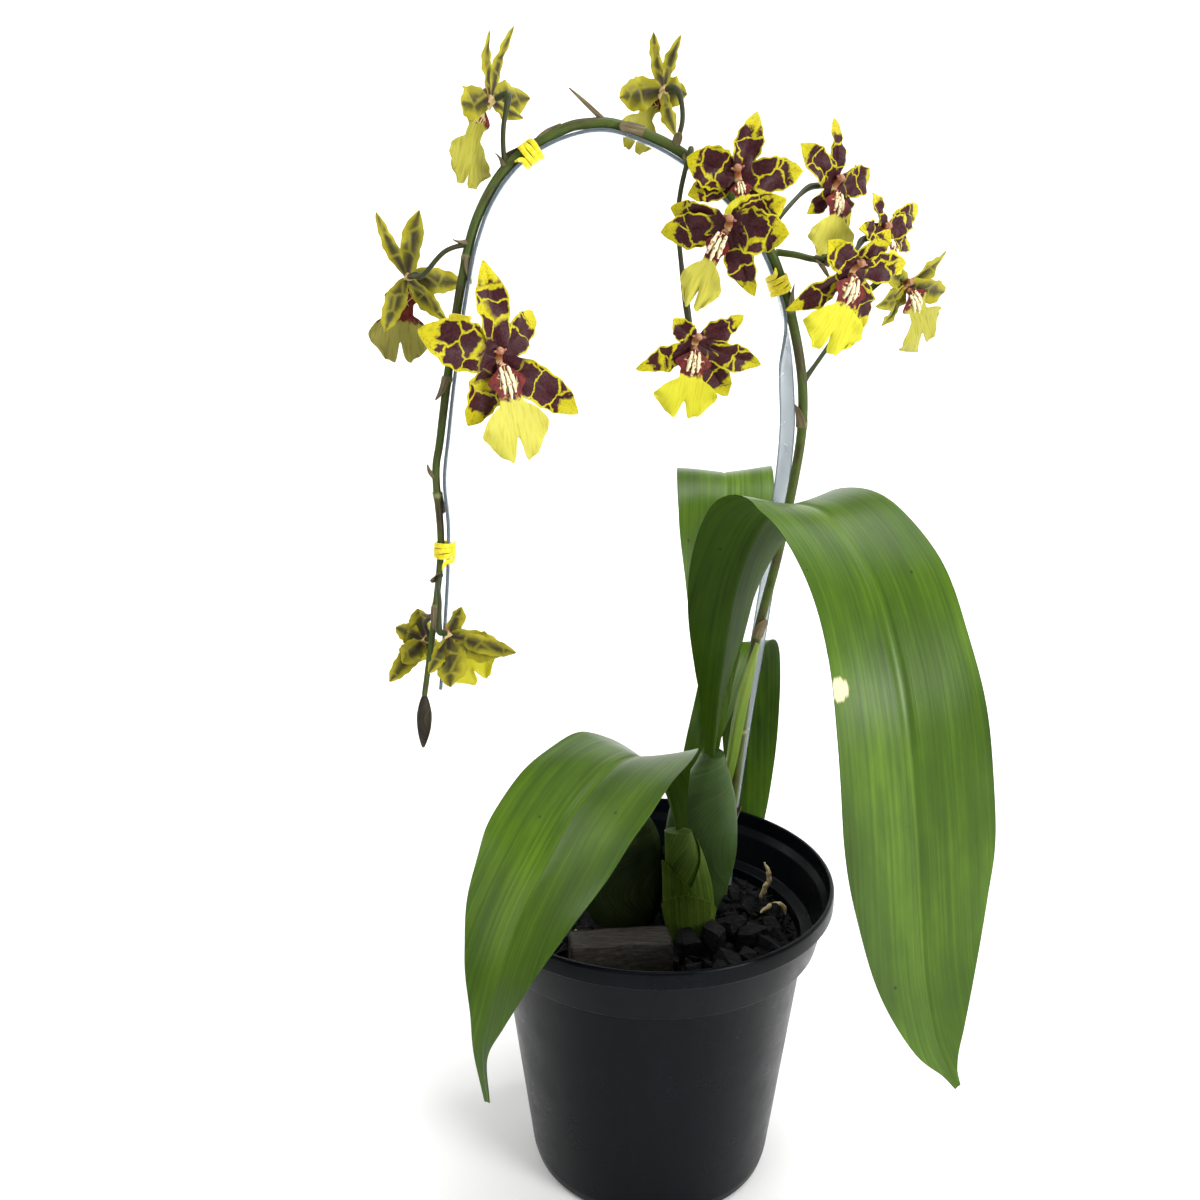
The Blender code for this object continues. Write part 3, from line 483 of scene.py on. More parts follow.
def buildBed(rng):
    top = charcoalBed["top"]
    bm = bmesh.new()
    bmesh.ops.create_cone(bm, cap_ends=True, segments=96, radius1=charcoalBed["lowRadius"] * mm,
                          radius2=charcoalBed["radius"] * mm, depth=(top - 3) * mm,
                          matrix=Matrix.Translation((0, 0, (top + 1) / 2 * mm)))
    for x, y in chunkPlaces(rng):
        size = [rng.uniform(*limits) for limits in charcoalBed["chunkSize"]]
        turn = tumbled(rng, 0.5)
        rise = rng.uniform(-0.5, 3)
        skipLump(rng)
        shard(bm, randomFor(x, y), size, (x, y, top + rise), turn, 26)
    for x, y, rise in charcoalBed["heap"]:
        turn = Matrix.Rotation(rng.uniform(0, math.pi), 3, "Z")
        skipLump(rng)
        shard(bm, randomFor(x, y), charcoalBed["heapSize"], (x, y, top + rise - 3), turn, 26)
    loose = random.Random(charcoalBed["seed"] + 1)
    scatter(bm, loose, *charcoalBed["chips"])
    scatter(bm, loose, *charcoalBed["crumbs"])
    bmesh.ops.recalc_face_normals(bm, faces=bm.faces)
    broken = charcoal("brokenCharcoal", charcoalLook["broken"])
    placed("charcoal", bm, [broken], "charcoal_bed", 25)


def buildBlock(rng):
    bm = bmesh.new()
    bmesh.ops.create_cube(bm, size=1)
    for vert in bm.verts:
        for axis in range(3):
            vert.co[axis] *= charcoalBlock["size"][axis] * (0.97 + 0.03 * rng.uniform(-1, 1))
    turn = Matrix.Rotation(math.radians(charcoalBlock["turn"]), 3, "Z")
    bmesh.ops.rotate(bm, verts=bm.verts, matrix=turn)
    bmesh.ops.translate(bm, verts=bm.verts, vec=charcoalBlock["place"])
    bmesh.ops.scale(bm, verts=bm.verts, vec=(mm, mm, mm))
    bmesh.ops.bevel(bm, geom=bm.edges[:], offset=0.9 * mm, segments=2, affect="EDGES", profile=0.6)
    bmesh.ops.subdivide_edges(bm, edges=bm.edges[:], cuts=7, use_grid_fill=True)
    rough, chip = random.Random(charcoalBlock["seed"]), charcoalBlock["chip"]
    for vert in bm.verts:
        vert.co += Vector([rough.uniform(-chip, chip) * mm for _ in range(3)])
    ashy = charcoal("ashyCharcoal", charcoalLook["ashy"])
    placed("charcoalBlock", bm, [ashy], "charcoal_block", 35)


bedDraws = random.Random(charcoalBed["seed"])
buildBed(bedDraws)
buildBlock(bedDraws)
print("charcoal ready")


# Leaves. Rows of a leaf's midrib: x, y, z, heading of its width, half width, fold

leafRows = {
    "leaf_right": (
        (24.8, 6.6, 178.8, 22, 4.6, 58), (25.5, 1.6, 202, 22, 7.4, 44), (26, -5, 220, 24, 11, 34),
        (28, -14, 249, 26, 17, 26), (32.5, -20.5, 271, 26, 21, 18), (40, -26, 287, 24, 24.5, 10),
        (50, -34, 292, 24, 26, 6), (60, -46, 288, 23, 26.5, 7), (70, -62, 272, 19, 27, 9),
        (75.8, -75, 250, 16, 27, 10), (79.8, -83, 226, 14, 27.3, 10), (84.2, -87, 190, 12, 27.3, 9),
        (87, -88, 164, 10, 24, 8), (90.5, -88, 136, 8, 17.8, 9), (96, -88, 112, 8, 10, 14),
        (101.5, -88, 99, 14, 3.6, 22), (105, -89, 92.5, 20, 1.4, 20),
    ),
    "leaf_back": (
        (25.2, 15.6, 178.8, 180, 4.6, 56), (25.8, 21, 197, 180, 8, 42), (27, 31, 220, 180, 12.6, 34),
        (29, 40, 245, 180, 17, 26), (30.5, 47, 264, 180, 20, 18), (32, 56, 279, 180, 21, 12),
        (33, 70, 286, 180, 21, 8), (34, 88, 281, 178, 21, 7), (35, 106, 262, 176, 20, 8),
        (36, 118, 238, 174, 18, 10), (37, 125, 212, 172, 14, 12), (38, 128, 188, 170, 8, 14),
        (39, 128, 168, 170, 1.4, 14),
    ),
    "leaf_back_low": (
        (11, 29, 97, 150, 3.4, 50), (14, 30, 130, 152, 5, 46), (20, 33, 160, 154, 7.5, 38),
        (30, 42, 190, 157, 10.5, 28), (38, 56, 208, 157, 13, 16), (45, 72, 207, 158, 14.5, 9),
        (49, 88, 186, 160, 15, 9), (51, 96, 152, 162, 14, 10), (52, 99, 118, 162, 10.5, 12),
        (53, 100, 92, 162, 5.5, 14), (53.5, 100, 74, 162, 1.3, 14),
    ),
    "leaf_front_left": (
        (9.5, -8.2, 153, -30, 4.8, 52), (7.4, -9.4, 165, -30, 6.4, 44), (4, -13, 176.5, -28, 11, 34),
        (-2.4, -19.6, 187.4, -25, 20, 22), (-8.6, -28, 193, -24, 26.4, 11),
        (-19, -41.5, 192.6, -27, 28, 6), (-31, -57.6, 184, -31, 28.5, 7), (-41, -72.6, 171.4, -34, 27, 8),
        (-49.6, -82.6, 157, -36, 22.8, 9), (-56, -90.4, 141, -36, 15.5, 11), (-60, -94, 125, -34, 8, 13),
        (-63, -95, 110, -30, 3, 18), (-61.5, -95, 91, -30, 1.2, 16),
    ),
    "sheath_leaf": (
        (23, 22.6, 97, -40, 2.4, 30), (24.4, 22.4, 125, -42, 2.8, 32), (28.6, 20, 150, -46, 3.2, 34),
        (32.4, 16.4, 172, -48, 3.4, 34), (34.4, 13.6, 190, -44, 3.6, 32), (37.6, 12.2, 208, -42, 3, 30),
        (42, 11.6, 226, -40, 1, 24),
    ),
}
leafCells = {  # cells along and across
    "leaf_right": (190, 36), "leaf_back": (120, 28), "leaf_back_low": (110, 22), "leaf_front_left": (150, 36),
    "sheath_leaf": (60, 12),
}
leafLook = {
    "face": ("#293f04", "#3d5a06", "#5b7b12"), "under": ("#1a2a06", "#2f470c", "#3d5a06"),
    "young": ("#4f6f1c", "#7a9638", "#a9b562"), "brown": "#2b2410", "scarColour": "#d8cda0",
    "vein": 1.3, "spot": 15, "scar": (206, -24.5, 0),  # mm; the scar is at this place on the right leaf
    "wave": 0.03, "ripple": 0.012, "groove": 0.02,  # shares of the half width
    "thickness": 0.7,
}


def leafSkin(name, colours, roughness, gloss=0.26, scar=None):
    # living strap leaf, waxy cuticle: satin, with fine parallel veins, a paler mottle, a few dark specks, and
    # a pale midrib line that is partly a painted highlight
    material, tree = newMaterial(name)
    place, _along, middle = gridPlaces(tree)
    veins = streaks(tree, place, (0.006, 1 / leafLook["vein"], 1), 3, 0.6)
    patches = streaks(tree, place, (0.012, 0.05, 1), 4, 0.6)
    both = addNode(tree, "Mix", {"data_type": "FLOAT", 0: 0.62}, {2: veins, 3: patches})
    colour = addNode(tree, "ValToRGB", {"stops": list(zip((0.32, 0.5, 0.7), colours))}, {"Fac": both})
    # a pale line along the midrib: partly the midrib's own paler colour, partly a painted highlight along the
    # leaf's centre
    midribPaleAndHighlight = addNode(tree, "MapRange", {"range": (0, 0.03, 0.4, 0)}, {0: middle})
    colour = addNode(tree, "Mix", {"data_type": "RGBA", 7: colours[2]}, {0: midribPaleAndHighlight, 6: colour})
    spots = addNode(tree, "TexVoronoi", {"Scale": 1 / leafLook["spot"]}, {"Vector": place})
    speck = addNode(tree, "MapRange", {"range": (0.035, 0.06, 0.8, 0)}, {0: spots})
    colour = addNode(tree, "Mix", {"data_type": "RGBA", 7: leafLook["brown"]}, {0: speck, 6: colour})
    if scar:
        away = addNode(tree, "VectorMath", {"operation": "DISTANCE", 1: scar}, {0: place})
        ragged = addNode(tree, "Math", {"operation": "MULTIPLY_ADD", 1: 5}, {0: veins, 2: away})
        cut = addNode(tree, "MapRange", {"range": (5.6, 6.6, 1, 0)}, {0: ragged})
        colour = addNode(tree, "Mix", {"data_type": "RGBA", 7: leafLook["scarColour"]}, {0: cut, 6: colour})
    look = {"Roughness": roughness, "Specular IOR Level": gloss, "Subsurface Weight": 0.04,
            "Subsurface Radius": (0.0006, 0.0012, 0.0003)}
    return finished(material, look, colour, (veins, 0.16, 0.5))


def leafSpots(name, phase):
    rows, columns = leafCells[name]
    line = spline(leafRows[name], rows + 1)
    ways, run = directions(line), distances(line)

    def spotAt(u, v):
        row, way, along = (values[round(u * rows)] for values in (line, ways, run))
        heading, fold, half = math.radians(row[3]), math.radians(row[5]), row[4]
        across = np.array([math.cos(heading), math.sin(heading), 0])
        across = unit(across - way * float(across @ way))
        wave = leafLook["wave"] * math.sin(6 * math.pi * u + 2 * v) * abs(v) ** 3
        ripple = leafLook["ripple"] * math.sin(15 * u * math.pi + phase + 1.3 * v) * v ** 4
        groove = leafLook["groove"] * math.exp(-(v / 0.05) ** 2)
        rise = (math.sqrt(v * v + 0.012) - 0.11) * math.sin(fold) + wave + ripple - groove
        point = row[:3] + half * (across * v * math.cos(fold) + np.cross(way, across) * rise)
        return point, (along, v * half, 0), (u, v, phase)

    return sampled((rows, columns), spotAt)


def buildLeaves():
    rng = random.Random(11)
    face = leafSkin("waxyLeaf", leafLook["face"], 0.36)
    scarred = leafSkin("scarredLeaf", leafLook["face"], 0.36, scar=leafLook["scar"])
    under = leafSkin("leafUnderside", leafLook["under"], 0.5, 0.08)
    young = leafSkin("youngSheath", leafLook["young"], 0.45)
    faces = {"leaf_right": [scarred, under], "sheath_leaf": [young, young]}
    for name in leafRows:
        leaf = blade(leafSpots(name, rng.uniform(0, 6)), leafLook["thickness"])
        meshPiece(pieceName(name), [leaf], faces.get(name, [face, under]), name, 70)


buildLeaves()
print("leaves ready")


# Bulbs, new shoot and bud. Rows: x, y, z, half width across x and across y

bulbRows = {
    "main_pseudobulb": (
        (19, 9, 96, 6, 5.5), (19.3, 9, 106, 8.5, 7), (20, 9, 118, 12.6, 8.8), (20.5, 9, 132, 15, 9.9),
        (20.8, 9.2, 146, 15, 9.9), (21.8, 9.6, 158, 13.2, 8.8), (23.2, 10, 167, 9.6, 7.4),
        (24.4, 10.4, 174, 6.4, 6.4), (25, 11, 178.4, 4.8, 6.4),
    ),
    "old_pseudobulb": (
        (-12, 9, 96, 9, 6), (-12, 9, 106, 14.6, 8.5), (-12, 9, 118, 17, 9.6), (-11, 9, 130, 15.6, 9),
        (-8.8, 8.5, 140, 12, 7.5), (-6, 8, 147, 7, 5), (-4.6, 8, 151, 3.4, 3),
    ),
    "new_shoot": (
        (15.5, -8.6, 96, 6, 4.4), (15.5, -8.6, 105, 8, 5.2), (15, -8.6, 115, 9.6, 5.8),
        (14.2, -8.6, 127, 9.4, 5.7), (12.6, -8.6, 139, 7.8, 4.9), (10.8, -8.6, 147, 6.2, 4.1),
        (9.8, -8.6, 152.6, 5.4, 3.4),
    ),
    "tip_bud": (
        (-91.8, -5, 209.4, 1.1, 1.1), (-92, -5, 206, 2.2, 2.2), (-92.2, -5, 201, 3, 3),
        (-92.5, -5, 195, 2.6, 2.6), (-92.9, -5, 190, 1.4, 1.4), (-93.1, -5, 187.5, 0.5, 0.5),
    ),
}
bulbShape = {  # slot, ridge depth, ridges
    "main_pseudobulb": ("pseudobulb", 0.012, 7), "old_pseudobulb": ("pseudobulb", 0.035, 9),
    "new_shoot": ("shoot", 0.03, 2), "tip_bud": ("bud", 0.05, 3),
}
bulbLook = {  # name of its skin, colours, roughness, wrinkle
    "main_pseudobulb": ("waxyPseudobulb", ("#2a3c18", "#394f24", "#4e6637"), 0.52, 0.2),
    "old_pseudobulb": ("driedPseudobulb", ("#171f0d", "#2a3716", "#4a5328"), 0.66, 0.6),
    "new_shoot": ("freshSheath", ("#33480f", "#526b20", "#7b8c3a"), 0.5, 0.25),
    "tip_bud": ("budSkin", ("#1f1a18", "#363024", "#56602c"), 0.5, 0.2),
}
shootSheaths = {
    "cells": (34, 26), "foot": 0.1, "wrap": 2.1, "thickness": 0.35,
    "each": ((3.5, 0.78, 0.35), (0.2, 0.92, 0.15), (4.6, 0.55, 0.55)),  # turn round the shoot, top, lift
}


def bulbSkin(name, colours, roughness, wrinkle):
    # tough skin of a pseudobulb: dull wax over lengthwise fibres, mottled where sheaths dried on it
    material, tree = newMaterial(name)
    place = addNode(tree, "Attribute", {"attribute_name": "place"}).outputs["Vector"]
    fibres = streaks(tree, place, (0.02, 1 / 0.9, 1), 5, 0.7)
    patches = addNode(tree, "TexNoise", {"Scale": 0.05, "Detail": 3}, {"Vector": place})
    both = addNode(tree, "Mix", {"data_type": "FLOAT", 0: 0.45}, {2: fibres, 3: patches})
    colour = addNode(tree, "ValToRGB", {"stops": list(zip((0.35, 0.52, 0.7), colours))}, {"Fac": both})
    look = {"Roughness": roughness, "Specular IOR Level": 0.15}
    return finished(material, look, colour, (fibres, wrinkle, 0.6))


def sheath(line, turn, top, lift):
    # leaf sheath folded round the flattened shoot, open on one side, with a slanting rim that ends in a point
    foot, marks = shootSheaths["foot"], np.arange(len(line))

    def spotAt(u, v):
        angle = turn + shootSheaths["wrap"] * v
        rim = top * (1 - 0.5 * abs(v) ** 1.6)
        height = (foot + (rim - foot) * u) * (len(line) - 1)
        x, y, z, wide, deep = (np.interp(height, marks, line[:, k]) for k in range(5))
        out = lift + 0.5 + 0.7 * u ** 6
        point = (x + (wide + out) * math.cos(angle), y + (deep + out) * math.sin(angle), z)
        return point, (z, 9 * angle, turn), (u, v, 0)

    return blade(sampled(shootSheaths["cells"], spotAt), shootSheaths["thickness"], 0, 0)


def buildBulbs():
    for node, rows in bulbRows.items():
        slot, ridge, ridges = bulbShape[node]
        line = spline(rows, 60)
        points, place, share = [], [], []
        for i, (x, y, z, wide, deep) in enumerate(line):
            for angle in around(64):
                swell = 1 + ridge * math.cos(ridges * angle + 0.6) + 0.008 * math.sin(3 * angle + 0.15 * z)
                points.append((x + wide * swell * math.cos(angle), y + deep * swell * math.sin(angle), z))
                place.append((z, wide * angle, ridges))
                share.append((i / 59, math.sin(angle), 0))
        body = (np.array(values, float).reshape(60, 64, 3) for values in (points, place, share))
        grids = [grid(*body, wrap=True, caps=True)]
        if node == "new_shoot":
            grids += [sheath(line, *settings) for settings in shootSheaths["each"]]
        meshPiece(pieceName(node), grids, [bulbSkin(*bulbLook[node])], node)


buildBulbs()
print("bulbs ready")


# Flower stem

stemRows = (
    (32.2, 22.6, 97), (33, 22.6, 120), (35.4, 22, 150), (38.2, 20.4, 185), (40, 18.4, 208), (43, 16, 231),
    (48.9, 13.6, 260.6), (53.4, 13, 287), (56.3, 13, 308.7), (56.3, 12, 324.3), (54.3, 11, 339.5),
    (49.6, 10, 358), (44.4, 9, 372.6), (38.6, 8, 383.6), (30, 7, 394.5), (19.8, 6, 404.2), (4, 6, 415.6),
    (-14.8, 5, 422.6), (-25.6, 4, 423.2), (-36.3, 3, 420.6), (-54.2, 1, 409.4), (-66, -1, 391.4),
    (-72.2, -3, 369.1), (-77.3, -5, 340.6), (-82, -5, 311.1), (-84, -5, 297.9), (-83.1, -5, 270.8),
    (-86.8, -5, 240.8), (-91.7, -5, 209.8),
)
branchRows = ((43.6, 9, 379), (50, 5, 378), (56, 2, 376.5), (60, -2, 376.6))
dryStalks = (
    ((-19, 4.8, 422.8), (-26, 4, 429), (-33, 4, 435)), ((-46, 2, 415.6), (-42, 2, 419.6), (-36, 2.6, 423)),
    ((58, 3, 376.6), (61, 2.6, 372), (63, 2.4, 369)), ((-83.6, -5, 296), (-86, -6, 299), (-87, -6, 302)),
)
stemShape = {
    "cells": 420, "radius": 1.9, "tipRadius": 1.15, "taperFrom": 0.66,
    "node": 44, "ring": 0.35, "ringReach": 1.1,  # spacing of the nodes, height and reach of their rings
    "pedicel": 0.9, "ovary": 1.35, "coreRadius": 2.4, "gap": 0.3, "solidPoints": 36,
    "bract": 9, "bractsFrom": 120, "bractThickness": 0.35, "smallBract": 4.5,
}
stemLook = {
    "rind": [(0.3, "#35421a"), (0.48, "#4b5a24"), (0.6, "#433e25"), (0.72, "#3a2a25")], "ring": "#8b8a58",
    "stalk": [(0.3, "#2c3a1c"), (0.5, "#3a3f24"), (0.7, "#3b2d26")], "stalkRing": "#3a3f24",
    "bract": [(0.3, "#3e3526"), (0.55, "#6f6243"), (0.75, "#8d8357")],
}

# Blooms: centre, facing (right, up, in degrees from the viewer), the five outer pieces with the back sepal
# first, each as its tip from the centre and its width, then the lip's tip, and the pedicel's way
blooms = {
    "a": (
        (-61, 4, 431), (-125, -5),
        ((8, 11, 26, 3.8), (13, 19, 3, 11), (0, 2, 23, 3.8), (11, 10, -5, 4.6), (-9, -13, -3, 10)),
        (-7, -5, -30), ((-56, 0.8, 408), (-56.4, -1, 415), (-56, -2, 422)),
    ),
    "b": (
        (1, 15, 436), (-150, 5),
        ((-4, -6, 18, 4.4), (-16, -9, -4, 10), (6, -1, 18, 4.2), (5, 1, -16, 5), (9, 5, -1, 9)),
        (-10, 1, -22), ((5, 6, 415), (7.6, 6, 424), (7, 7.6, 432)),
    ),
    "c": (
        (-94, 9, 370), (-150, -5),
        ((5, 3, 24, 7.5), (20, 12, -2, 8.5), (-10, -3, 23, 4.6), (14, 2, -16, 6), (-7, -13, -19, 7)),
        (-3, 1, -32), ((-69.4, -2, 382), (-78, -5, 379), (-86, -4, 371)),
    ),
    "d": (
        (-58, -22, 342), (28, 0),
        ((-5, 4, 34, 10.5), (-27, -8, 10.5, 15), (11, 21, 16, 10), (-11, -4, -23, 11.5), (28, 9, -20, 11.5)),
        (7, -4, -36), ((-77.4, -5, 341), (-77, -10, 341), (-71, -12.6, 340.4)),
    ),
    "e": (
        (26, -12, 404), (5, -10),
        ((6, -1, 21, 8.5), (-18, -3, 6, 12.5), (23, 2, 2, 10.5), (-17, 3, -6, 8.5), (14, 7, -13, 8.5)),
        (3, -2, -16), ((12, 6, 409.4), (18, 1, 411), (24, -1, 408)),
    ),
    "f": (
        (21, -36, 387), (-25, -15),
        ((-19, 9, 6, 9), (-22, 11, -2, 10), (18, -6, 8, 10), (10, 6, -23, 8.5), (19, -8, -3, 13)),
        (-11, 7, -27), ((39, 8, 383), (36, -6, 380), (30, -22, 383)),
    ),
    "g": (
        (66, 22, 403), (35, -5),
        ((-1, 0, 24, 6.5), (-15, -12, 14, 9.5), (17, 17, 5, 10), (-10, -3, -10, 6.5), (9, 13, -14, 6.5)),
        (-4, -4, -27), ((38.6, 8, 383.6), (46, 12, 393), (56, 25, 402)),
    ),
    "h": (
        (66, -22, 373), (22, -20),
        ((12, 0, 13, 8), (-11, -10, 9, 9), (20, 7, 2, 9), (-23, -1, -14, 8), (8, 17, -21, 8)),
        (-11, 0, -28), ((57, 1, 376.5), (60, -2, 376.6), (63, -8, 376.6)),
    ),
    "i": (
        (83, 12, 385), (50, 10),
        ((-5, -3, 15, 7), (11, 10, 7, 8), (18, 22, 12, 8), (15, 17, -4, 7), (-11, -12, 2, 7)),
        (2, -6, -15), ((59, -1, 376.6), (66, 1.6, 377), (73, 9, 380)),
    ),
    "j": (
        (98, 34, 367), (50, -25),
        ((-14, -20, 8, 7), (19, 13, 13, 7), (-13, -10, -8, 8), (22, 22, -3, 9), (-7, 4, -16, 7)),
        (11, 16, -24), ((56, 12, 331), (67, 22, 344), (80, 36, 360)),
    ),
    "k": (
        (12, -16, 348), (10, -25),
        ((-8, -4, 8, 7), (17, -1, 9, 8), (-21, 1, -10, 8), (25, 9, -9, 9), (14, 17, -21, 9)), (-5, 6, -27),
        ((10.8, 6, 411.6), (10, -2, 413), (6, -4, 390)),
    ),
    "l": (
        (-80, -16, 238), (158, -30),
        ((5, 4, 10, 6), (22, -11, -4, 10), (2, -14, -16, 11), (27, -16, -2, 6), (-7, -7, -13, 6)),
        (12, 0, -20), ((-84, -5, 259), (-84, -11, 257), (-82.6, -18, 251)),
    ),
    "m": (
        (-92, 4, 230), (-155, -20),
        ((-11, -3, 6, 7), (-3, 3, 12, 8), (-13, -11, -14, 7), (6, 2, -8, 7), (-8, -8, -7, 8)),
        (-7, 6, -13), ((-86.6, -5, 242), (-89, -4, 241), (-91, -2, 238)),
    ),
}


def facingVector(facing):
    right, up = (math.radians(angle) for angle in facing)
    return np.array([math.sin(right) * math.cos(up), -math.cos(right) * math.cos(up), math.sin(up)])


def stemSkin(name, stops, ringColour):
    # flower stem: green rind with purple-brown flushes where the sun reached it, and pale rings at its nodes
    material, tree = newMaterial(name)
    place = addNode(tree, "Attribute", {"attribute_name": "place"}).outputs["Vector"]
    flush = streaks(tree, place, (0.05, 0.5, 1), 5, 0.6)
    colour = addNode(tree, "ValToRGB", {"stops": stops}, {"Fac": flush})
    split = addNode(tree, "SeparateXYZ", None, {0: place})
    turns = addNode(tree, "Math", {"operation": "PINGPONG", 1: stemShape["node"] / 2}, {0: split})
    ring = addNode(tree, "MapRange", {"range": (0.3, 1.4, 0.8, 0)}, {0: turns})
    ringed = addNode(tree, "Mix", {"data_type": "RGBA", 7: ringColour}, {0: ring, 6: colour})
    look = {"Roughness": 0.42, "Specular IOR Level": 0.2, "Subsurface Weight": 0.04,
            "Subsurface Radius": (0.0005, 0.0008, 0.0003)}
    return finished(material, look, ringed, (flush, 0.2, 0.3))


def driedBract():
    # papery bract, dried on the stem: tan and brown, thin and matte
    material, tree = newMaterial("driedBract")
    place = addNode(tree, "Attribute", {"attribute_name": "place"}).outputs["Vector"]
    fibre = streaks(tree, place, (0.15, 2.5, 1), 4)
    colour = addNode(tree, "ValToRGB", {"stops": stemLook["bract"]}, {"Fac": fibre})
    return finished(material, {"Roughness": 0.8}, colour)


def bract(point, way, radius, length, turn):
    # clasping bract: a pointed blade wrapped halfway round the stem
    side = unit(np.cross(way, (0.2, 1, 0.1)))
    other = np.cross(way, side)

    def spotAt(u, v):
        angle = turn + v * (1.7 * (1 - u) ** 0.7 + 0.05)
        out = radius + 0.25 + 1.6 * u ** 2.2
        spot = point + way * length * (u - 0.08) + out * (side * math.cos(angle) + other * math.sin(angle))
        return spot, (length * u, v * 4, turn), (u, v, turn)

    return blade(sampled((10, 10), spotAt), stemShape["bractThickness"], 1, 1)


def pedicel(centre, facing, way):
    # thin stalk of a bloom, swollen towards its end by the ovary
    centre, normal = np.array(centre, float), facingVector(facing)
    points = [*way, centre - normal * 8, centre - normal * (stemShape["coreRadius"] + stemShape["gap"])]
    thin = stemShape["pedicel"]
    return spline(points, 44), np.interp(np.arange(44), (0, 2, 6, 26, 34, 43),
                                         (1.5, 1.1, thin, thin, stemShape["ovary"], 1.1))


def buildStem():
    count, spacing = stemShape["cells"], stemShape["node"]
    line = spline(stemRows, count)
    ways, run = directions(line), distances(line)
    share = np.arange(count) / (count - 1)
    radii = np.interp(share, (stemShape["taperFrom"], 1), (stemShape["radius"], stemShape["tipRadius"]))
    nearNode = np.abs((run + spacing / 2) % spacing - spacing / 2)
    radii += stemShape["ring"] * np.exp(-(nearNode / stemShape["ringReach"]) ** 2)
    grids = [tube(line, radii, 20), tube(spline(branchRows, 40), np.linspace(1.35, 1.15, 40), 14, number=3)]
    drySizes = np.interp(np.arange(16), (0, 9, 15), (1.1, 0.85, 0.3))
    grids += [tube(spline(rows, 16), drySizes, 10, 1, number=k) for k, rows in enumerate(dryStalks)]
    for letter, (centre, facing, _outer, _lip, way) in blooms.items():
        number = ord(letter)
        grids.append(tube(*pedicel(centre, facing, way), 14, 2, number, 0.05))
        start, onward = np.array(way[:2], float)
        onward = unit(onward - start)
        grids.append(bract(start + onward * 1.2, onward, 1.25, stemShape["smallBract"], number * 1.3))
    for k in range(1, int(run[-1] / spacing) + 1):
        i = int(np.argmin(np.abs(run - k * spacing)))
        if line[i, 2] >= stemShape["bractsFrom"]:
            grids.append(bract(line[i, :3], ways[i], radii[i] - 0.1, stemShape["bract"], 2.4 * k + 1.2))
    rind = stemSkin("flowerStemRind", stemLook["rind"], stemLook["ring"])
    stalk = stemSkin("pedicelRind", stemLook["stalk"], stemLook["stalkRing"])
    meshPiece("flowerStem", grids, [rind, driedBract(), stalk], "flower_stem")


buildStem()
print("stem ready")


# Support strip. Rows of its leg: x, y, z, and its turn in degrees

stripLeg = (
    (34, 29.6, 70, 90), (34.2, 29.4, 120, 90), (36.4, 28.2, 153, 90), (40, 25.6, 190, 90),
    (43.4, 22.6, 221, 90), (47, 20, 255, 90), (50.2, 18.4, 288, 90), (51.4, 17.4, 308, 90),
    (51, 16.4, 324, 88), (49.4, 14.8, 338, 62),
)
stripShape = {
    "width": 6, "thickness": 1.3, "cells": 260, "joins": 354, "end": 213,  # it joins the arch at this height
    "offset": 3.4, "snug": 2.7, "snugFrom": (300, 340),  # from the stem's axis, low down and along the arch
    "parts": 262, "slope": 0.055,  # where it leaves the stem again, and how fast
    "section": ((1, 0.5), (0.84, 1), (-0.84, 1), (-1, 0.5), (-1, -0.5), (-0.84, -1), (0.84, -1), (1, -0.5)),
    "slots": (1, 0, 1, 1, 1, 0, 1, 1),  # the two flat sides are clear and the rest is edge, painted a darker grey-blue as a shade line
}
# the second colour is painted shade: the dark line that refraction gives along a clear strip's edges
stripLook = {"clearPlasticStrip": "#c3ccd3", "stripEdgePaintedShade": "#74808a"}


def innerSide(way):
    return unit(np.cross(way, (0, 1, 0)))


def clearStrip(name, colour):
    # clear PET strip, cut and bent by hand: light passes through, and its edges get a painted shade line in a
    # darker grey-blue
    material, tree = newMaterial(name)
    place = addNode(tree, "TexCoord").outputs["Object"]
    scuffs = addNode(tree, "TexNoise", {"Scale": 220, "Detail": 6, "Roughness": 0.7}, {"Vector": place})
    rough = addNode(tree, "MapRange", {"range": (0.35, 0.7, 0.06, 0.3)}, {0: scuffs})
    look = {"Base Color": colour, "IOR": 1.45, "Transmission Weight": 0.6}
    return finished(material, look, relief=(scuffs, 0.06, 0.2), roughness=rough)


def stripCourse():
    # the same stations as the solid, then a finer curve through them
    line = spline(stemRows, stemShape["solidPoints"])
    ways, end = directions(line), stripShape["end"]
    arch = []
    for i in range(int(np.argmax(line[:, 2] > stripShape["joins"])), len(line)):
        x, _y, z = line[i]
        if x < 0 and z < end:
            break
        apart = float(np.interp(z, stripShape["snugFrom"], (stripShape["offset"], stripShape["snug"])))
        if x < 0 and z < stripShape["parts"]:
            apart += stripShape["slope"] * (stripShape["parts"] - z)
        arch.append((*(line[i] + innerSide(ways[i]) * apart), 0))
    last = np.array(arch[-1])
    arch.append(last + (last - arch[-2]) * (last[2] - end) / (arch[-2][2] - last[2]))
    leg = spline([*stripLeg, arch[0]], 15)
    return spline(np.vstack([leg[:-1], arch]), stripShape["cells"])


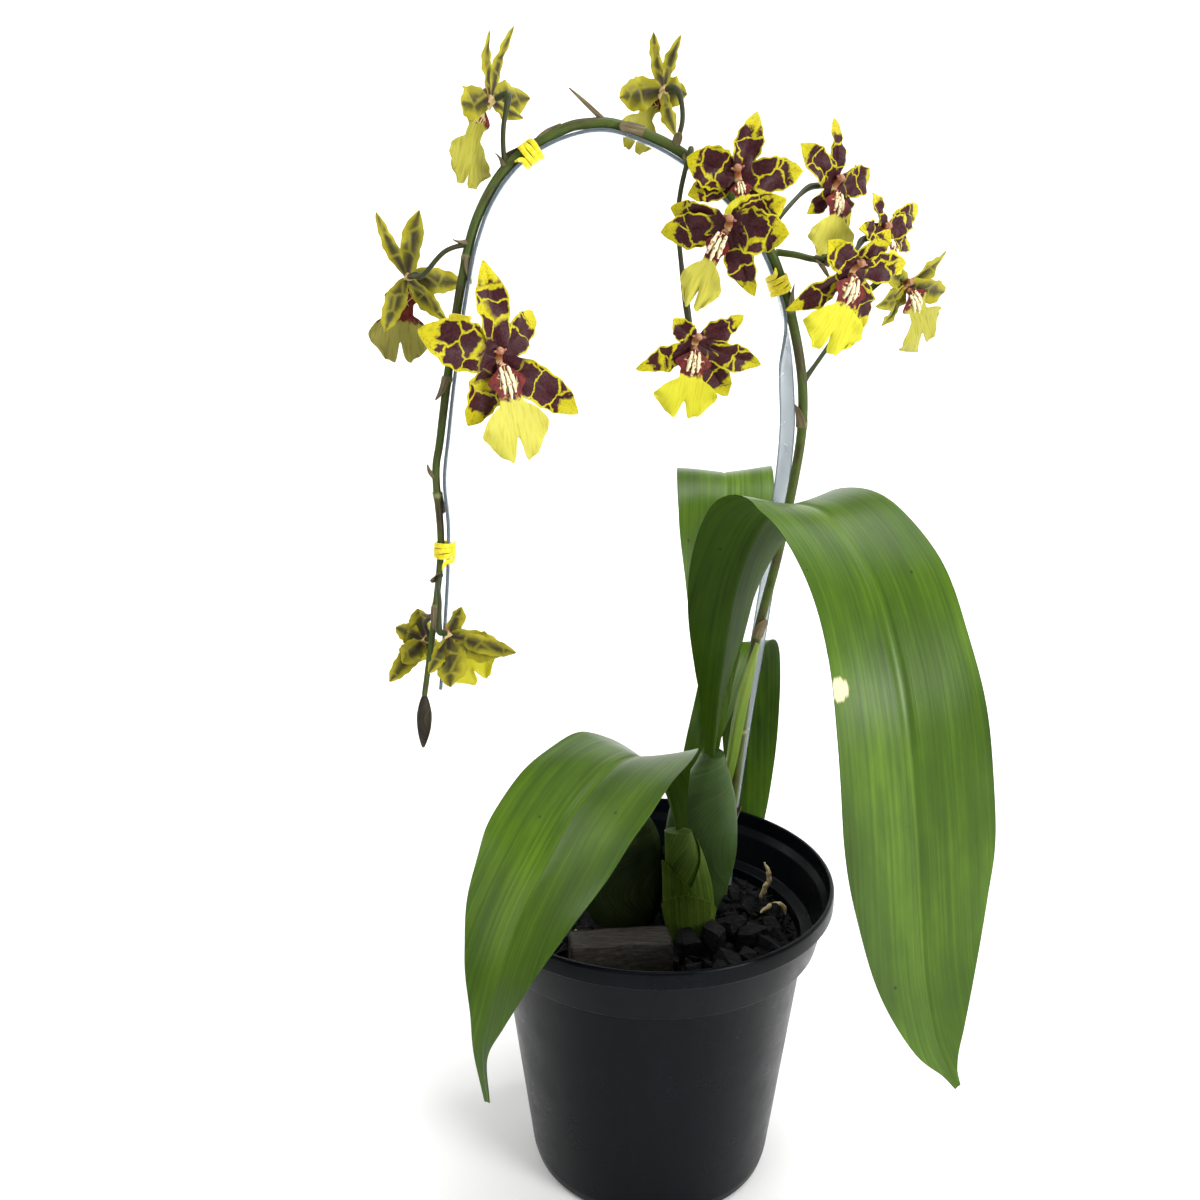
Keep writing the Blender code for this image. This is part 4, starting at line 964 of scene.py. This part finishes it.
def buildStrip():
    points = stripCourse()
    half, thin = stripShape["width"] / 2, stripShape["thickness"] / 2
    rings, places = [], []
    for i, (row, way) in enumerate(zip(points, directions(points))):
        turn = math.radians(row[3])
        wide = math.cos(turn) * np.array([0, 1, 0]) - math.sin(turn) * innerSide(way)
        wide = unit(wide - way * float(wide @ way))
        thick = np.cross(way, wide)
        rings.append([row[:3] + wide * a * half + thick * b * thin for a, b in stripShape["section"]])
        places.append([(i, a * half, 0) for a, b in stripShape["section"]])
    rings, places = np.array(rings), np.array(places, float)
    slots = np.tile(stripShape["slots"], (len(rings), 1))
    looks = [clearStrip(name, stripLook[name]) for name in ("clearPlasticStrip", "stripEdgePaintedShade")]
    meshPiece("supportStrip", [grid(rings, places, places, slots, wrap=True, caps=True)], looks,
              "support_strip", 30)


# Ties

tieSpots = {"tie_1": (46, 368.5), "tie_2": (-48, 414), "tie_3": (-75, 353), "tie_4": (-83.3, 268)}  # x and z
tieShape = {
    "half": 1.0, "thin": 0.36, "loop": (3.95, 4.75), "shift": 1.55, "turns": 3.2, "pitch": 2.02, "tail": 5,
    "steps": 36, "tailSteps": 8,
}
tieLook = {"coat": [(0.3, "#d9c20c"), (0.6, "#f5e31c")]}


def tieCoating():
    # flat tie, PVC-coated: bright yellow, glossy, with faint scuffs
    material, tree = newMaterial("yellowTieWire")
    place = addNode(tree, "TexCoord").outputs["Object"]
    scuffs = addNode(tree, "TexNoise", {"Scale": 900, "Detail": 4}, {"Vector": place})
    colour = addNode(tree, "ValToRGB", {"stops": tieLook["coat"]}, {"Fac": scuffs})
    return finished(material, {"Roughness": 0.32, "IOR": 1.53}, colour)


def band(rows, way):
    # a rounded oblong carried along the turns, its wide side along the stem
    corners = [(math.cos(angle), math.sin(angle)) for angle in around(12)]
    half, thin = tieShape["half"], tieShape["thin"]
    rings, places = [], []
    for k, (row, onward) in enumerate(zip(rows, directions(rows))):
        wide = unit(way - onward * float(way @ onward))
        thick = np.cross(onward, wide)
        rings.append([row + wide * half * abs(c) ** 0.5 * np.sign(c) + thick * thin * s for c, s in corners])
        places.append([(k, c, s) for c, s in corners])
    places = np.array(places)
    return grid(np.array(rings), places, places, wrap=True, caps=True)


def tieTurns(centre, way, phase):
    side = innerSide(way)
    depth = np.cross(way, side)
    steps, turns = tieShape["steps"], tieShape["turns"]
    centre = centre + side * tieShape["shift"]
    rows = []
    for k in range(int(steps * turns) + 1):
        angle = 2 * math.pi * (k / steps)
        along = tieShape["pitch"] * (k / steps - turns / 2) + 0.2 * math.sin(2.3 * angle)
        loop = [reach * (1 + 0.02 * math.sin(1.7 * angle + phase)) for reach in tieShape["loop"]]
        ring = side * loop[0] * math.cos(angle) + depth * loop[1] * math.sin(angle)
        rows.append(centre + way * along + ring)
    out, onward = unit(rows[-1] - centre), unit(rows[-1] - rows[-2])
    for k in range(1, tieShape["tailSteps"] + 1):
        bend = k / tieShape["tailSteps"]
        rows.append(rows[-1] + (onward * (1 - bend) + out * 0.55 + way * 0.3) * tieShape["tail"] / 10)
    return np.array(rows)


def buildTies():
    coating = tieCoating()
    stem = spline(stemRows, 400)
    ways = directions(stem)
    for name, (x, z) in tieSpots.items():
        i = int(np.argmin(np.hypot(stem[:, 0] - x, stem[:, 2] - z)))
        turns = band(tieTurns(stem[i], ways[i], x), ways[i])
        meshPiece(pieceName(name), [turns], [coating], name)


# Roots

rootRows = {
    "root_1": ((50.5, 28, 98), (50.8, 28, 104), (53.6, 29, 111), (51.5, 30, 118)),
    "root_2": ((58, 14, 98), (57.4, 14, 105.6), (52, 11, 107.4), (47, 8, 105.6)),
    "root_3": ((-33, -13, 98), (-33.4, -13.4, 105), (-32, -14, 110.5)),
}
rootLook = {"skin": [(0.3, "#8f7a4e"), (0.5, "#c4b083"), (0.7, "#ddd0ab")], "cells": 50, "sway": 0.25}


def rootSkin():
    # aerial root: a cream spongy skin over a wiry core, dry and matte
    material, tree = newMaterial("dryRootSkin")
    place = addNode(tree, "TexCoord").outputs["Object"]
    skin = addNode(tree, "TexNoise", {"Scale": 500, "Detail": 6, "Roughness": 0.7}, {"Vector": place})
    colour = addNode(tree, "ValToRGB", {"stops": rootLook["skin"]}, {"Fac": skin})
    return finished(material, {"Roughness": 0.85}, colour, (skin, 0.5, 0.4))


def buildRoots():
    skin = rootSkin()
    marks = np.arange(rootLook["cells"])
    for k, (name, rows) in enumerate(rootRows.items()):
        line = spline(rows, len(marks))
        line[:, 0] += rootLook["sway"] * np.sin(marks * 0.5 + k)
        radii = np.interp(marks, (0, 38, 49), (1.35, 1.1, 0.4)) * (1 + 0.07 * np.sin(marks * 0.9))
        meshPiece(pieceName(name), [tube(line, radii, 16)], [skin], name)


buildStrip()
buildTies()
buildRoots()
print("strip, ties and roots ready")


# Blooms

tepalShape = {
    "cells": (26, 14), "thickness": 0.55, "widen": 1.08, "arch": 0.05, "cup": 0.24, "keel": 0.35,
    "wave": (0.26, 1.7), "ruffle": (0.45, 4.3), "scallop": (0.05, 5.2),  # depth, and waves in a length
}
tepalLook = {
    "maroon": [(0.35, "#2c0e14"), (0.7, "#4d1e25")], "yellow": [(0.3, "#9f911b"), (0.5, "#c4b913")],
    "cell": (8.6, 10.5), "lineWidth": 0.018,  # blotches in mm along and across, the line as a share of one
    "tipFrom": 0.92, "margin": 1.03,
    "back": [(0.34, "#33261a"), (0.58, "#54511d"), (0.86, "#a39b1f")], "backLine": "#a39b1f",
    "muted": "j",  # blooms that show the dull colour of the back on both sides
}
lipShape = {
    "cells": (40, 32), "thickness": 0.5, "height": 3,
    "width": 26, "full": 30, "narrow": {"f": 0.58, "a": 0.85, "b": 0.85},  # a full-length lip is that wide
    "sideLobes": (0.56, 0.18, 0.13), "neck": 0.36, "frontLobe": (0.64, 0.42, 0.66),  # width, place, reach
    "notch": 0.27, "rounding": 0.22, "frill": 0.8, "sideFrill": 0.6, "scallop": 0.35,
    "ridges": ((-1.5, 0.03, 0.3, 1.5), (1.5, 0.03, 0.3, 1.5), (0, 0.08, 0.36, 2.1)),  # side, from, to, height
}
lipLook = {
    "red": [(0.35, "#4c1415"), (0.65, "#7a2622")], "cream": "#d9c992", "callus": ("#f3e9bf", "#a8452f"),
}
lipKinds = {  # its blooms, its yellow, the shade of its rays, and how far down the red base reaches
    "bright": ("ehikml", "#cdc82e", "#bfb61e", 0.47), "lemon": ("dgf", "#c6c04e", "#b5ac36", 0.46),
    "pale": ("abj", "#aaa53c", "#8e8a30", 0.3), "dusky": ("c", "#9c9648", "#7f7a38", 0.6),
# the last kind, for bloom c, is painted shade: a dull, darker yellow and a wider red base for a lip seen from
# behind in shade
}
columnLook = {
    "cells": 18, "length": 6, "wing": (0.6, 2.4),
    "hood": [(0.2, "#d9bf86"), (0.5, "#a8683a"), (0.75, "#7d3f28"), (1.0, "#a87555")],
}


def petalVeins(tree, place):
    return streaks(tree, place, (0.15, 1 / 0.8, 1), 3)


def blotchEdges(tree, place):
    across = [1 / size for size in tepalLook["cell"]]
    cells = addNode(tree, "Mapping", {"Scale": (*across, 1)}, {"Vector": place})
    settings = {"feature": "DISTANCE_TO_EDGE", "Scale": 1, "Randomness": 0.7}
    return addNode(tree, "TexVoronoi", settings, {"Vector": cells})


def tepalSkin():
    # petal tissue, soft and matte: broad maroon blotches parted by thin wavy lines, and a clear yellow edge
    look = tepalLook
    material, tree = newMaterial("blotchedTepal")
    place, along, edge = gridPlaces(tree)
    wobble = addNode(tree, "TexNoise", {"Scale": 0.3, "Detail": 3}, {"Vector": place})
    swayed = addNode(tree, "VectorMath", {"operation": "MULTIPLY_ADD", 1: (4, 4, 0)},
                     {0: wobble.outputs["Color"], 2: place})
    lineWidth, margin, tipFrom = look["lineWidth"], look["margin"], look["tipFrom"]
    lines = blotchEdges(tree, swayed)
    inside = addNode(tree, "MapRange", {"range": (lineWidth, lineWidth + 0.03)}, {0: lines})
    ragged = addNode(tree, "Math", {"operation": "MULTIPLY_ADD", 1: 0.3}, {0: wobble, 2: edge})
    inMargin = addNode(tree, "MapRange", {"range": (margin, margin + 0.05, 1, 0)}, {0: ragged})
    tipward = addNode(tree, "Math", {"operation": "MULTIPLY_ADD", 1: 0.35}, {0: wobble, 2: along})
    belowTip = addNode(tree, "MapRange", {"range": (tipFrom, tipFrom + 0.05, 1, 0)}, {0: tipward})
    base = addNode(tree, "MapRange", {"range": (0.16, 0.24, 1, 0)}, {0: along})
    blotch = addNode(tree, "Math", {"operation": "MULTIPLY"}, {0: inside, 1: inMargin})
    blotch = addNode(tree, "Math", {"operation": "MULTIPLY"}, {0: blotch, 1: belowTip})
    dark = addNode(tree, "Math", {"operation": "MAXIMUM"}, {0: blotch, 1: base})
    grain = addNode(tree, "TexNoise", {"Scale": 1.2, "Detail": 4}, {"Vector": place})
    maroon = addNode(tree, "ValToRGB", {"stops": look["maroon"]}, {"Fac": grain})
    yellow = addNode(tree, "ValToRGB", {"stops": look["yellow"]}, {"Fac": grain})
    colour = addNode(tree, "Mix", {"data_type": "RGBA"}, {0: dark, 6: yellow, 7: maroon})
    shader = {"Roughness": 0.5, "Specular IOR Level": 0.2, "Subsurface Weight": 0.06,
              "Subsurface Radius": (0.001, 0.0006, 0.0003)}
    return finished(material, shader, colour, (petalVeins(tree, place), 0.3, 0.4))


def tepalBackSkin():
    # back of a petal: the blotches show through as smooth olive-brown that fades to yellow-green at the edge
    look = tepalLook
    material, tree = newMaterial("tepalBack")
    place, along, edge = gridPlaces(tree)
    cloud = addNode(tree, "TexNoise", {"Scale": 0.22, "Detail": 3}, {"Vector": place})
    outward = addNode(tree, "Math", {"operation": "MULTIPLY_ADD", 1: 0.9}, {0: cloud, 2: edge})
    outward = addNode(tree, "Math", {"operation": "MULTIPLY_ADD", 1: 0.45}, {0: along, 2: outward})
    outward = addNode(tree, "MapRange", {"range": (0, 1.7)}, {0: outward})
    colour = addNode(tree, "ValToRGB", {"stops": look["back"]}, {"Fac": outward})
    line = addNode(tree, "MapRange", {"range": (0.01, 0.09, 0.5, 0)}, {0: blotchEdges(tree, place)})
    lined = addNode(tree, "Mix", {"data_type": "RGBA", 7: look["backLine"]}, {0: line, 6: colour})
    shader = {"Roughness": 0.52, "Specular IOR Level": 0.2, "Subsurface Weight": 0.06,
              "Subsurface Radius": (0.001, 0.0007, 0.0003)}
    return finished(material, shader, lined, (petalVeins(tree, place), 0.3, 0.4))


def lipSkin(name, yellow, shade, redTo):
    # lip tissue: a dark red base with cream wavy lines and a ragged edge, then clear yellow with faint rays
    look = lipLook
    material, tree = newMaterial(name)
    place, along, edge = gridPlaces(tree)
    wobble = addNode(tree, "TexNoise", {"Scale": 0.5, "Detail": 3}, {"Vector": place})
    rays = petalVeins(tree, place)
    lobe = addNode(tree, "ValToRGB", {"stops": [(0.3, shade), (0.5, yellow)]}, {"Fac": rays})
    lines = addNode(tree, "TexVoronoi", {"feature": "DISTANCE_TO_EDGE", "Scale": 0.36}, {"Vector": place})
    line = addNode(tree, "MapRange", {"range": (0.035, 0.07, 1, 0)}, {0: lines})
    red = addNode(tree, "ValToRGB", {"stops": look["red"]}, {"Fac": wobble})
    down = addNode(tree, "Math", {"operation": "MULTIPLY_ADD", 1: 0.2}, {0: wobble, 2: along})
    upper = addNode(tree, "MapRange", {"range": (0.36, 0.4, 1, 0)}, {0: down})
    central = addNode(tree, "MapRange", {"range": (0.5, 0.62, 1, 0)}, {0: edge})
    inner = addNode(tree, "Math", {"operation": "MULTIPLY"}, {0: upper, 1: central})
    cream = addNode(tree, "Math", {"operation": "MULTIPLY"}, {0: line, 1: inner})
    base = addNode(tree, "Mix", {"data_type": "RGBA", 7: look["cream"]}, {0: cream, 6: red})
    onBase = addNode(tree, "MapRange", {"range": (redTo - 0.02, redTo + 0.02, 1, 0)}, {0: down})
    colour = addNode(tree, "Mix", {"data_type": "RGBA"}, {0: onBase, 6: lobe, 7: base})
    shader = {"Roughness": 0.5, "Specular IOR Level": 0.2, "Subsurface Weight": 0.1,
              "Subsurface Radius": (0.001, 0.001, 0.0003)}
    return finished(material, shader, colour, (rays, 0.3, 0.4))


def columnSkin():
    # the column's waxy tissue: an orange-red hood that pales to cream at its foot
    material, tree = newMaterial("columnHood")
    place, along, _edge = gridPlaces(tree)
    mottle = addNode(tree, "TexNoise", {"Scale": 1.2, "Detail": 4}, {"Vector": place})
    height = addNode(tree, "Math", {"operation": "MULTIPLY_ADD", 1: 0.3}, {0: mottle, 2: along})
    colour = addNode(tree, "ValToRGB", {"stops": columnLook["hood"]}, {"Fac": height})
    return finished(material, {"Roughness": 0.38, "Subsurface Weight": 0.15,
                               "Subsurface Radius": (0.0015, 0.0007, 0.0003)}, colour)


def callusSkin():
    # raised callus: waxy cream with a few red freckles
    material, tree = newMaterial("creamCallus")
    place = addNode(tree, "TexCoord").outputs["Object"]
    freckles = addNode(tree, "TexVoronoi", {"Scale": 700}, {"Vector": place})
    cream, red = lipLook["callus"]
    share = addNode(tree, "MapRange", {"range": (0.25, 0.35, 0.8, 0)}, {0: freckles})
    colour = addNode(tree, "Mix", {"data_type": "RGBA", 6: cream, 7: red}, {0: share})
    return finished(material, {"Roughness": 0.4, "Subsurface Weight": 0.15,
                               "Subsurface Radius": (0.0015, 0.001, 0.0005)}, colour)


def petalAxes(normal, tip):
    along = unit(np.array(tip, float))
    front = unit(normal - along * float(normal @ along))
    return along, front, np.cross(along, front)


def waves(count, u):
    return 2 * math.pi * count * u


def tepalOutline(u):
    return max(0.34 * (1 - u) ** 2 + math.sin(math.pi * u ** 1.05) ** 0.72, 0.05)


def tepal(centre, tip, normal, width, phase):
    shape = tepalShape
    length = float(np.linalg.norm(tip))
    along, front, across = petalAxes(normal, tip)
    root = stemShape["coreRadius"] * 0.4
    wave, ruffle, scallop = shape["wave"], shape["ruffle"], shape["scallop"]

    def spotAt(u, v):
        half = width / 2 * shape["widen"] * tepalOutline(u)
        arched = math.sin(math.pi * u)
        lift = shape["arch"] * length * arched
        lift += abs(v) * half * (shape["cup"] + wave[0] * math.sin(waves(wave[1], u) + phase + 1.5 * v))
        lift += ruffle[0] * math.sin(waves(ruffle[1], u) + 2 * phase + 2.2 * v) * abs(v) ** 3 * arched
        lift -= shape["keel"] * math.exp(-(v / 0.16) ** 2) * math.sin(math.pi * min(1, u * 1.1))
        wide = v * half * (1 + scallop[0] * math.sin(waves(scallop[1], u) + phase + v))
        point = centre + along * (root + (length - root) * u) + across * wide + front * lift
        return point, (length * u, v * half, phase * 3.7), (u, v, phase)

    return blade(sampled(shape["cells"], spotAt), shape["thickness"], 1, 0)


def column(centre, normal, lipTip):
    lipWay, lipFront, _across = petalAxes(normal, lipTip)
    way = unit(normal * 0.8 - lipWay * 0.6)
    side = unit(np.cross(way, normal + 0.01))
    count, length = columnLook["cells"], columnLook["length"]
    marks = np.linspace(-1, length - 1, count)
    rows = [centre + way * t - lipWay * 0.8 * math.sin(math.pi * t / 7) for t in marks]
    radii = np.interp(np.arange(count), (0, 4, 9, 13, 16, 17), (1.7, 1.2, 1.1, 1.35, 1.1, 0.7))
    grids = [tube(rows, radii, 18, 2, flute=0.12, flutes=2)]
    for sign in (-1, 1):
        wing = [rows[11] + side * sign * t + way * 0.5 * t for t in np.linspace(*columnLook["wing"], 8)]
        grids.append(tube(wing, np.linspace(0.75, 0.3, 8), 10, 2))
    foot = [centre + lipWay * 2.4 + lipFront * t for t in np.linspace(-0.4, 2.2, 6)]
    return [*grids, tube(foot, [1.1] * 6, 12, 2)]


def lipOutline(u):
    side, middle, spread = lipShape["sideLobes"]
    wide, start, span = lipShape["frontLobe"]
    neck = lipShape["neck"]
    lobes = side * math.exp(-((u - middle) / spread) ** 2)
    front = wide * max(0, math.sin(math.pi * min(1, max(0, (u - start) / span)))) ** 0.7
    return max(lobes, neck * min(1, 0.35 + 4 * u), neck + front if u > start else 0)


def lip(centre, normal, tip, phase, narrow):
    shape = lipShape
    length = float(np.linalg.norm(tip))
    along, front, across = petalAxes(normal, tip)
    scale = min(1, length / shape["full"])
    start, reach = centre + front * shape["height"] + along * 2.1, length - 2.3

    def spotAt(u, v):
        half = shape["width"] / 2 * scale * narrow * lipOutline(u)
        drawnBack = shape["notch"] * math.exp(-(v / 0.15) ** 2) + shape["rounding"] * abs(v) ** 3.5
        down = reach * u * (1 - u ** 3 * drawnBack)
        down += shape["scallop"] * scale * math.cos(17 * v + phase) * u ** 6
        lift = 0.12 * half * math.sin(3 * math.pi * u + 3 * v) * abs(v) * u
        lift += 0.05 * reach * math.sin(math.pi * u)
        lift += shape["frill"] * scale * math.sin(11 * v + phase + 3 * u) * u ** 5
        lift += shape["sideFrill"] * scale * math.sin(waves(5, u) + phase) * abs(v) ** 4 * u
        point = start + along * down + across * v * half + front * lift
        return point, (reach * u, v * half * (1.3 - 0.5 * u), phase), (u, v, phase)

    def ridge(v, low, high, height):
        # cream ridge or knob of the callus, in the middle of the lip's base
        rows, radii = [], []
        for t in np.linspace(0, 1, 16):
            u, hump = low + (high - low) * t, math.sin(math.pi * t)
            lift = 0.05 * reach * math.sin(math.pi * u) + 0.2 + height * 0.5 * scale * abs(hump) ** 0.6
            rows.append(start + along * reach * u + across * v * scale * (1 + 0.4 * t) + front * lift)
            radii.append(0.75 * scale * (0.55 + 0.45 * hump) * (1 + 0.18 * math.sin(19 * t)))
        return tube(rows, radii, 10, 1)

    sheet = blade(sampled(shape["cells"], spotAt), shape["thickness"], 0, 0)
    return [sheet, *(ridge(*settings) for settings in shape["ridges"])]


def buildBlooms():
    front, back, hood, knobs = tepalSkin(), tepalBackSkin(), columnSkin(), callusSkin()
    lipTissue = {}
    for kind, (letters, *colours) in lipKinds.items():
        lipTissue.update(dict.fromkeys(letters, lipSkin(kind + "Lip", *colours)))
    for letter, (centre, facing, outer, lipTip, _way) in blooms.items():
        centre, normal, phase = np.array(centre, float), facingVector(facing), ord(letter)
        grids = column(centre, normal, lipTip)
        for i, (*tip, width) in enumerate(outer):
            grids.append(tepal(centre, tip, normal, width, 1.9 * i + phase))
        face = back if letter in tepalLook["muted"] else front
        meshPiece("bloom" + letter.upper(), grids, [face, back, hood], "bloom_" + letter)
        grids = lip(centre, normal, lipTip, phase, lipShape["narrow"].get(letter, 1))
        meshPiece("lip" + letter.upper(), grids, [lipTissue[letter], knobs], "lip_" + letter)


buildBlooms()
print("blooms ready")
